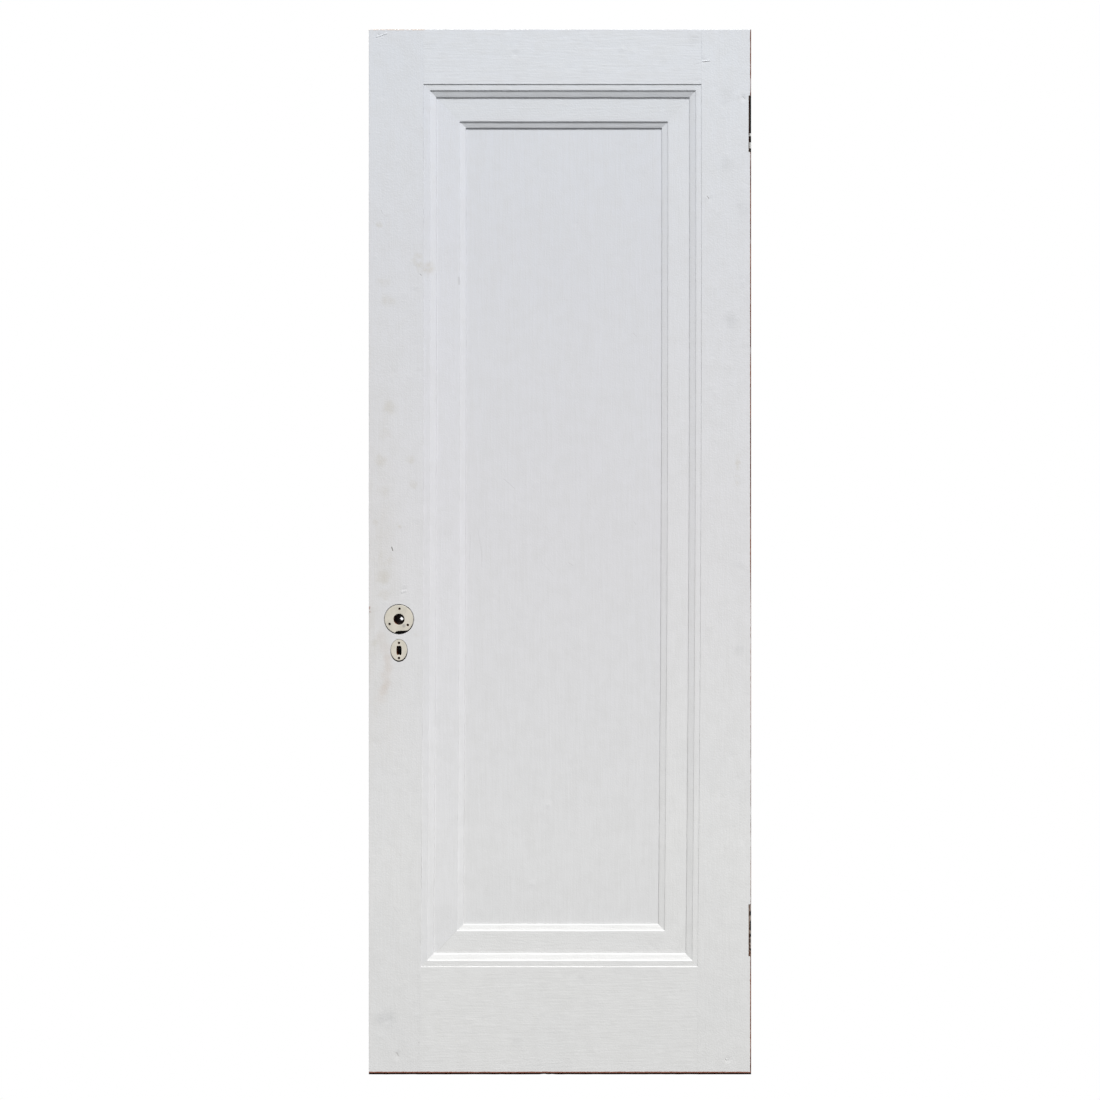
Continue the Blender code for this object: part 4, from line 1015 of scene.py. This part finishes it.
# the keyhole's plate, an oval around a rounded hole with a nick at its foot
def makeKeyPlate(name, side):
    lock = lockStile["lock"]
    radiusA, radiusB = plateLook["keyPlate"]
    count = 192
    angle = np.arange(count) * math.tau / count
    hole = keyholeOutline(0, 0, 0, count)
    inner = np.hypot(hole[:, 0], hole[:, 1])
    inner = inner - plateLook["keyNick"] * np.exp(-((np.degrees(angle) - 270) / 9) ** 2)
    outer = 1 / np.sqrt((np.cos(angle) / radiusA) ** 2 + (np.sin(angle) / radiusB) ** 2)
    return makePlate(name, side, (lock["axis"], lock["key"]), inner, outer, frontScrews("key"))


plateFinish = {
    "cream": (0.70, 0.655, 0.565),
    "shade": (0.62, 0.585, 0.50),
    # painted shade along the plates' outer edges
    "rim": (0.13, 0.11, 0.085),
    # painted shadow, near black, under the key plate's foot and around the screw holes
    "blackShade": (0.022, 0.018, 0.013),
    "stain": (0.10, 0.08, 0.055),
    "smudge": (0.36, 0.35, 0.33),
}


# worn pale plating: cream with broad faint shading, a dark rim of painted shade at the plates' edges, a few
# pits, near-black painted shadow under the key plate's foot and around the screw holes, and a grey smudge
# under the rose's hole
def plateMaterial():
    material, kit, shader = startMaterial("platedBrass", metallic=0.12)
    place = kit.place()
    lock = lockStile["lock"]
    patches = kit.noise(place, 45, 3.0, 0.5)
    pits = kit.noise(place, 650, 2.0, 0.5)
    hub = kit.fromAxis(place, lock["axis"], lock["hub"])
    squeeze = plateLook["keyPlate"][0] / plateLook["keyPlate"][1]
    key = kit.fromAxis(place, lock["axis"], lock["key"], squeeze)
    colour = kit.mix(kit.fade(patches, 0.38, 0.64), plateFinish["cream"], plateFinish["shade"])
    colour = kit.mix(kit.fade(pits, 0.68, 0.74) * 0.35, colour, plateFinish["stain"])
    smudge = kit.mark(place, 0.0700, 0.8940, 0.0030, 0.8) * 0.75
    colour = kit.mix(smudge, colour, plateFinish["smudge"])
    # painted shade along both plates' outer edges, patchy
    roseEdgeShade = kit.fade(hub, 0.0280, 0.0285) * kit.fade(hub, 0.0300, 0.0290)
    keyEdgeShade = kit.fade(key, 0.0162, 0.0166) * kit.fade(key, 0.0180, 0.0170)
    rim = (roseEdgeShade | keyEdgeShade) * (kit.fade(patches, 0.35, 0.6) * 0.5 + 0.35)
    colour = kit.mix(rim, colour, plateFinish["rim"])
    # painted shadow under the key plate's foot, a crescent thickest at the bottom, and around the screw holes
    raised = kit.fromAxis(place, lock["axis"], lock["key"] + 0.0020, squeeze)
    blackShade = kit.fade(raised, 0.0160, 0.0167) * kit.fade(key, 0.0180, 0.0170)
    for screwAcross, screwUp in frontScrews():
        blackShade = kit.fade(kit.fromAxis(place, screwAcross, screwUp), 0.0027, 0.0023) | blackShade
    colour = kit.mix(blackShade, colour, plateFinish["blackShade"])
    plug(kit, colour, shader, "Base Color")
    plug(kit, kit.fade(patches, 0.35, 0.7) * 0.12 + 0.34, shader, "Roughness")
    bump = kit.node("ShaderNodeBump", {}, {"Strength": 0.4, "Distance": 0.00004, "Height": pits})
    plug(kit, bump, shader, "Normal")
    return material


metals = {
    "brass": {"bright": (0.42, 0.30, 0.13), "dull": (0.16, 0.11, 0.055), "stain": (0.05, 0.04, 0.03)},
    "iron": {"bright": (0.065, 0.058, 0.052), "dull": (0.022, 0.019, 0.017), "stain": (0.09, 0.045, 0.022)},
}


# worn metal: a dull and a bright tone by large patches, small dark stains, and fine pits
def metalMaterial(name, look, metallic, roughness):
    material, kit, shader = startMaterial(name, metallic=metallic)
    place = kit.place()
    patches = kit.noise(place, 95, 4.0, 0.6)
    spots = kit.noise(place, 420, 3.0, 0.6)
    colour = kit.mix(kit.fade(patches, 0.42, 0.68), look["bright"], look["dull"])
    colour = kit.mix(kit.fade(spots, 0.62, 0.72), colour, look["stain"])
    plug(kit, colour, shader, "Base Color")
    plug(kit, kit.fade(patches, 0.35, 0.7) * 0.2 + roughness, shader, "Roughness")
    bump = kit.node("ShaderNodeBump", {}, {"Strength": 0.6, "Distance": 0.00006, "Height": spots})
    plug(kit, bump, shader, "Normal")
    return material


# where each board's paint is marked: across, up, radius and strength of a spot or chip; two ends, width and
# strength of a crack or ridge
lockPaint = {
    "grain": "up",
    "tone": (0.977, 0.977, 0.98),
    "handDirt": True,
    "covers": (bareEdges, lockCuts),
    "grime": (
        (0.098, 1.623, 0.012, 0.35), (0.104, 1.608, 0.01, 0.25), (0.021, 1.693, 0.007, 0.42),
        (0.029, 1.577, 0.015, 0.18), (0.039, 1.544, 0.015, 0.17), (0.083, 1.225, 0.009, 0.22),
        (0.026, 1.225, 0.013, 0.24), (0.088, 1.175, 0.009, 0.18), (0.034, 1.03, 0.013, 0.26),
        (0.03, 0.99, 0.013, 0.24), (0.057, 1.098, 0.005, 0.4), (0.063, 1.091, 0.005, 0.36),
        (0.026, 1.16, 0.013, 0.2), (0.044, 1.33, 0.014, 0.2), (0.034, 1.275, 0.012, 0.16),
        (0.012, 1.1, 0.007, 0.26), (0.03, 0.955, 0.012, 0.2), (0.012, 0.86, 0.008, 0.18),
        (0.094, 0.876, 0.006, 0.2),
    ),
    "greySmudge": ((0.033, 0.11, 0.016, 0.3), (0.05, 0.1, 0.013, 0.2), (0.071, 0.968, 0.005, 0.1)),
    "cracks": (
        ((0.045, 1.052), (0.049, 1.043), 0.0014, 0.9), ((0.101, 1.596), (0.106, 1.591), 0.0011, 0.4),
        ((0.024, 1.723), (0.027, 1.715), 0.0009, 0.25),
        ((0.113, 0.321), (0.12, 0.33), 0.0011, 0.45), ((0.1045, 0.306), (0.1055, 0.304), 0.0014, 0.5),
        ((0.0995, 0.064), (0.1005, 0.062), 0.0014, 0.4), ((0.055, 0.044), (0.059, 0.036), 0.0018, 0.3),
    ),
    "ridges": (((0.014, 2.067), (0.037, 2.075), 0.0016, 2.8), ((0.064, 0.961), (0.076, 0.965), 0.0034, 1.6)),
    "drip": (
        (0.023, 0.871, 0.012, 0.05), (0.033, 0.85, 0.012, 0.08), (0.037, 0.83, 0.01, 0.14),
        (0.039, 0.812, 0.01, 0.11), (0.034, 0.796, 0.011, 0.09), (0.036, 0.778, 0.01, 0.13),
        (0.029, 0.765, 0.01, 0.12), (0.024, 0.748, 0.011, 0.06),
    ),
    "bareWood": ((0.001, 0.93, 0.0045, 1.0), (0.001, 0.922, 0.0045, 1.0)),
    "chips": (
        (0.07, 0.966, 0.0035, -2.0), (0.072, 0.958, 0.003, -2.0), (0.068, 0.962, 0.003, 1.5),
        (0.021, 2.072, 0.004, -1.5), (0.028, 2.066, 0.004, 1.5), (0.056, 0.041, 0.003, -2.5),
        (0.053, 0.036, 0.003, 2.0), (0.103, 0.165, 0.0025, -2.0), (0.083, 0.058, 0.002, -2.0),
        (0.084, 0.062, 0.002, 1.5), (0.009, 0.425, 0.003, -1.5), (0.088, 0.712, 0.0025, 1.5),
    ),
}
hingePaint = {
    "grain": "up",
    "covers": (bareEdges,),
    "greySmudge": (
        (0.714, 1.952, 0.013, 0.16), (0.71, 1.815, 0.013, 0.22), (0.746, 1.725, 0.012, 0.16),
        (0.746, 1.582, 0.011, 0.32), (0.722, 1.502, 0.012, 0.3), (0.736, 1.019, 0.01, 0.16),
        (0.736, 0.85, 0.011, 0.2),
    ),
    "grime": (
        (0.736, 1.232, 0.0065, 0.3), (0.736, 1.22, 0.0065, 0.34), (0.736, 1.208, 0.006, 0.28),
        (0.735, 1.191, 0.005, 0.22), (0.735, 1.178, 0.006, 0.16),
    ),
    "cracks": (
        ((0.698, 2.078), (0.698, 1.995), 0.0006, 0.12), ((0.664, 2.0175), (0.682, 2.0195), 0.001, 0.3),
        ((0.6735, 1.751), (0.6785, 1.7445), 0.0015, 0.45), ((0.745, 1.949), (0.75, 1.9435), 0.0016, 0.35),
        ((0.7155, 0.028), (0.7175, 0.03), 0.0014, 0.3),
    ),
    "ridges": (
        ((0.664, 2.0195), (0.68, 2.0215), 0.0016, 3.0), ((0.7115, 0.032), (0.7145, 0.029), 0.0018, 4.0),
    ),
    "chips": (
        (0.673, 1.7475, 0.0028, -2.5), (0.678, 1.7455, 0.0025, -2.0), (0.676, 1.75, 0.003, 1.5),
        (0.7475, 1.946, 0.0032, -2.5), (0.742, 1.95, 0.003, 1.5), (0.666, 2.02, 0.003, 1.5),
        (0.757, 1.089, 0.0025, -2.5),
    ),
}
railPaint = {
    "grain": "across",
    "speckle": 0.9,
    "covers": (bareEdges,),
    "greySmudge": ((0.646, 2.066, 0.013, 0.18), (0.423, 0.186, 0.01, 0.14), (0.297, 0.066, 0.01, 0.14)),
    "cracks": (((0.646, 2.0125), (0.662, 2.0165), 0.001, 0.18),),
    "chips": (
        (0.292, 2.034, 0.003, -1.5), (0.505, 2.044, 0.003, 1.5), (0.349, 0.006, 0.004, 2.0),
        (0.128, 0.163, 0.002, -1.5),
    ),
}
mitreCrack = ((0.136, 0.244), (0.176, 0.288), 0.0008, 0.14)
memberPaints = (
    {
        "grain": "up",
        "tone": (0.99, 0.99, 1.005),
        "grime": ((0.114, 0.724, 0.003, 0.5), (0.119, 1.607, 0.013, 0.4)),
        "cracks": (mitreCrack, ((0.1775, 1.592), (0.1785, 1.574), 0.0026, 0.2)),
    },
    {"grain": "across", "tone": (0.97, 0.972, 0.97)},
    {"grain": "up"},
    {"grain": "across", "cracks": (mitreCrack,)},
)
panelPaint = {
    "grain": "up",
    "speckle": 1.0,
    "tone": (0.967, 0.968, 0.978),
    "chips": (
        (0.353, 0.535, 0.0028, 2.0), (0.323, 0.377, 0.0028, 2.0), (0.401, 1.017, 0.0025, 1.5),
        (0.529, 1.476, 0.002, -1.5),
    ),
    "grime": ((0.176, 0.724, 0.003, 0.4),),
    "greySmudge": (
        (0.25, 1.811, 0.012, 0.28), (0.499, 1.703, 0.012, 0.22), (0.278, 1.47, 0.012, 0.22),
        (0.28, 0.671, 0.012, 0.2), (0.397, 0.455, 0.012, 0.14), (0.373, 0.336, 0.012, 0.18),
        (0.333, 1.029, 0.012, 0.12),
    ),
    "cracks": (
        ((0.264, 1.189), (0.29, 1.167), 0.0008, 0.18), ((0.2, 1.078), (0.198, 1.02), 0.0013, 0.08),
        ((0.214, 1.093), (0.224, 1.02), 0.0013, 0.08), ((0.222, 1.056), (0.223, 1.008), 0.0012, 0.08),
        ((0.34, 1.024), (0.368, 0.992), 0.001, 0.07),
        ((0.396, 1.02), (0.405, 1.014), 0.0008, 0.2), ((0.525, 1.48), (0.533, 1.472), 0.0008, 0.2),
        ((0.526, 1.103), (0.532, 1.095), 0.0008, 0.2),
    ),
}

print("door leaf: boards")
railMaterial = paintMaterial("paintRails", railPaint)
lockNodes = ("lock_stile_lower", "lock_stile_middle", "lock_stile_upper")
boards = [
    (makeLockStile(), paintMaterial("paintLockStile", lockPaint), lockNodes),
    (makeHingeStile(), paintMaterial("paintHingeStile", hingePaint), ("hinge_stile",)),
    (makeBoard(topRail), railMaterial, ("top_rail",)),
    (makeBoard(bottomRail), railMaterial, ("bottom_rail",)),
]
print("door leaf: panel frame and panel")
for number, (name, look) in enumerate(zip(("Left", "Top", "Right", "Bottom"), memberPaints)):
    settings = {"grain": look["grain"], "seed": 70 + number, "specks": 24, "wave": 0.0001, "ripple": 0.00003}
    member = makeMember("member" + name, number, settings)
    boards.append((member, paintMaterial("paintMember" + name, look), ("moulding_" + name.lower(),)))
boards.append((makePanel(), paintMaterial("paintPanel", panelPaint), ("panel",)))
for piece, material, nodes in boards:
    paintOn(piece, material)
    shade(piece)
    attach(piece, "leaf")
    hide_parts(*nodes)

print("door leaf: plates and lock")
platePaint = plateMaterial()
for piece, node in (
    (makeRose("frontRose", "front"), "front_rose"),
    (makeRose("backRose", "back"), "back_rose"),
    (makeKeyPlate("frontKeyPlate", "front"), "front_key_plate"),
    (makeKeyPlate("backKeyPlate", "back"), "back_key_plate"),
):
    paintOn(piece, platePaint)
    shade(piece)
    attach(piece, "leaf")
    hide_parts(node)
agedBrass = metalMaterial("agedBrass", metals["brass"], 0.85, 0.38)
caseIron = metalMaterial("caseIron", metals["iron"], 0.5, 0.55)
for nodeName, material in (
    ("lock_faceplate", agedBrass), ("upper_faceplate_screw", agedBrass), ("lower_faceplate_screw", agedBrass),
    ("latch_bolt", agedBrass), ("dead_bolt", agedBrass),
    ("lock_case", caseIron), ("lock_cap", caseIron), ("cap_screw", caseIron), ("hub", caseIron),
):
    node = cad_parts[nodeName]
    node.data.materials.clear()
    node.data.materials.append(material)

print("door leaf: stage")
stage = {
    "keyFrom": (0.34, -1.0, 1.5),
    "keyStrength": 4.25,
    "keyAngle": 16,
    "fillFrom": (-0.55, 1.0, 0.8),
    "fillStrength": 2.4,
    "fillAngle": 30,
    "ambient": 0.41,
    "floorDrop": 0.004,
    "floorShade": 0.10,
    "frameCentre": (-0.3974, -0.8494),  # across and up in the frame, at the front face
    "distance": 2.8009,  # from the front face
    "aside": 0.40,  # how far the camera stands to the right of the frame's centre
    "lens": 46,
    "sensor": 36,
}


# fills a node tree so that the camera sees plain white and all other rays meet the first shader
def whiteToCamera(tree, outputKind, first, firstSockets, second):
    tree.nodes.clear()
    kit = Kit(tree)
    seen = kit.node("ShaderNodeLightPath", {}, {})
    plain = kit.node("ShaderNode" + first, {}, firstSockets)
    white = kit.node("ShaderNode" + second, {}, {"Color": (1, 1, 1, 1), "Strength": 1.0})
    shown = kit.node("ShaderNodeMixShader", {}, {0: seen, 1: plain, 2: white})
    output = tree.nodes.new("ShaderNodeOutput" + outputKind)
    tree.links.new(shown.socket, output.inputs[0])


world = bpy.data.worlds.new("studio")
world.use_nodes = True
bpy.context.scene.world = world
skySockets = {"Color": (0.98, 0.99, 1.0, 1), "Strength": stage["ambient"]}
whiteToCamera(world.node_tree, "World", "Background", skySockets, "Background")

level = leaf["corner"][2] - stage["floorDrop"]
corners = [(-9, -9, level), (9, -9, level), (9, 9, level), (-9, 9, level)]
floor = meshPiece("floor", corners, [(0, 1, 2, 3)])
floorPaint = bpy.data.materials.new("floorPaint")
floorPaint.use_nodes = True
floorSockets = {"Color": (stage["floorShade"],) * 3 + (1,)}
whiteToCamera(floorPaint.node_tree, "Material", "BsdfDiffuse", floorSockets, "Emission")
floor.data.materials.append(floorPaint)

for name in ("key", "fill"):
    light = bpy.data.lights.new(name, "SUN")
    light.energy = stage[name + "Strength"]
    light.angle = math.radians(stage[name + "Angle"])
    lamp = bpy.data.objects.new(name, light)
    lamp.rotation_euler = Vector(stage[name + "From"]).to_track_quat("Z", "Y").to_euler()
    lamp.location = Vector(stage[name + "From"]) * 3
    bpy.context.scene.collection.objects.link(lamp)

cameraData = bpy.data.cameras.new("camera")
cameraData.lens = stage["lens"]
cameraData.sensor_width = stage["sensor"]
# the picture plane stays square to the leaf, as in the photograph, and the shift brings the leaf back to
# the middle
cameraData.shift_x = -stage["aside"] / stage["distance"] * stage["lens"] / stage["sensor"]
camera = bpy.data.objects.new("camera", cameraData)
centreX, centreZ = stage["frameCentre"]
camera.location = (centreX + stage["aside"], leaf["corner"][1] - stage["distance"], centreZ)
camera.rotation_euler = (math.pi / 2, 0, 0)
bpy.context.scene.collection.objects.link(camera)
bpy.context.scene.camera = camera
bpy.context.scene.view_settings.view_transform = "Standard"

print("door leaf: done")
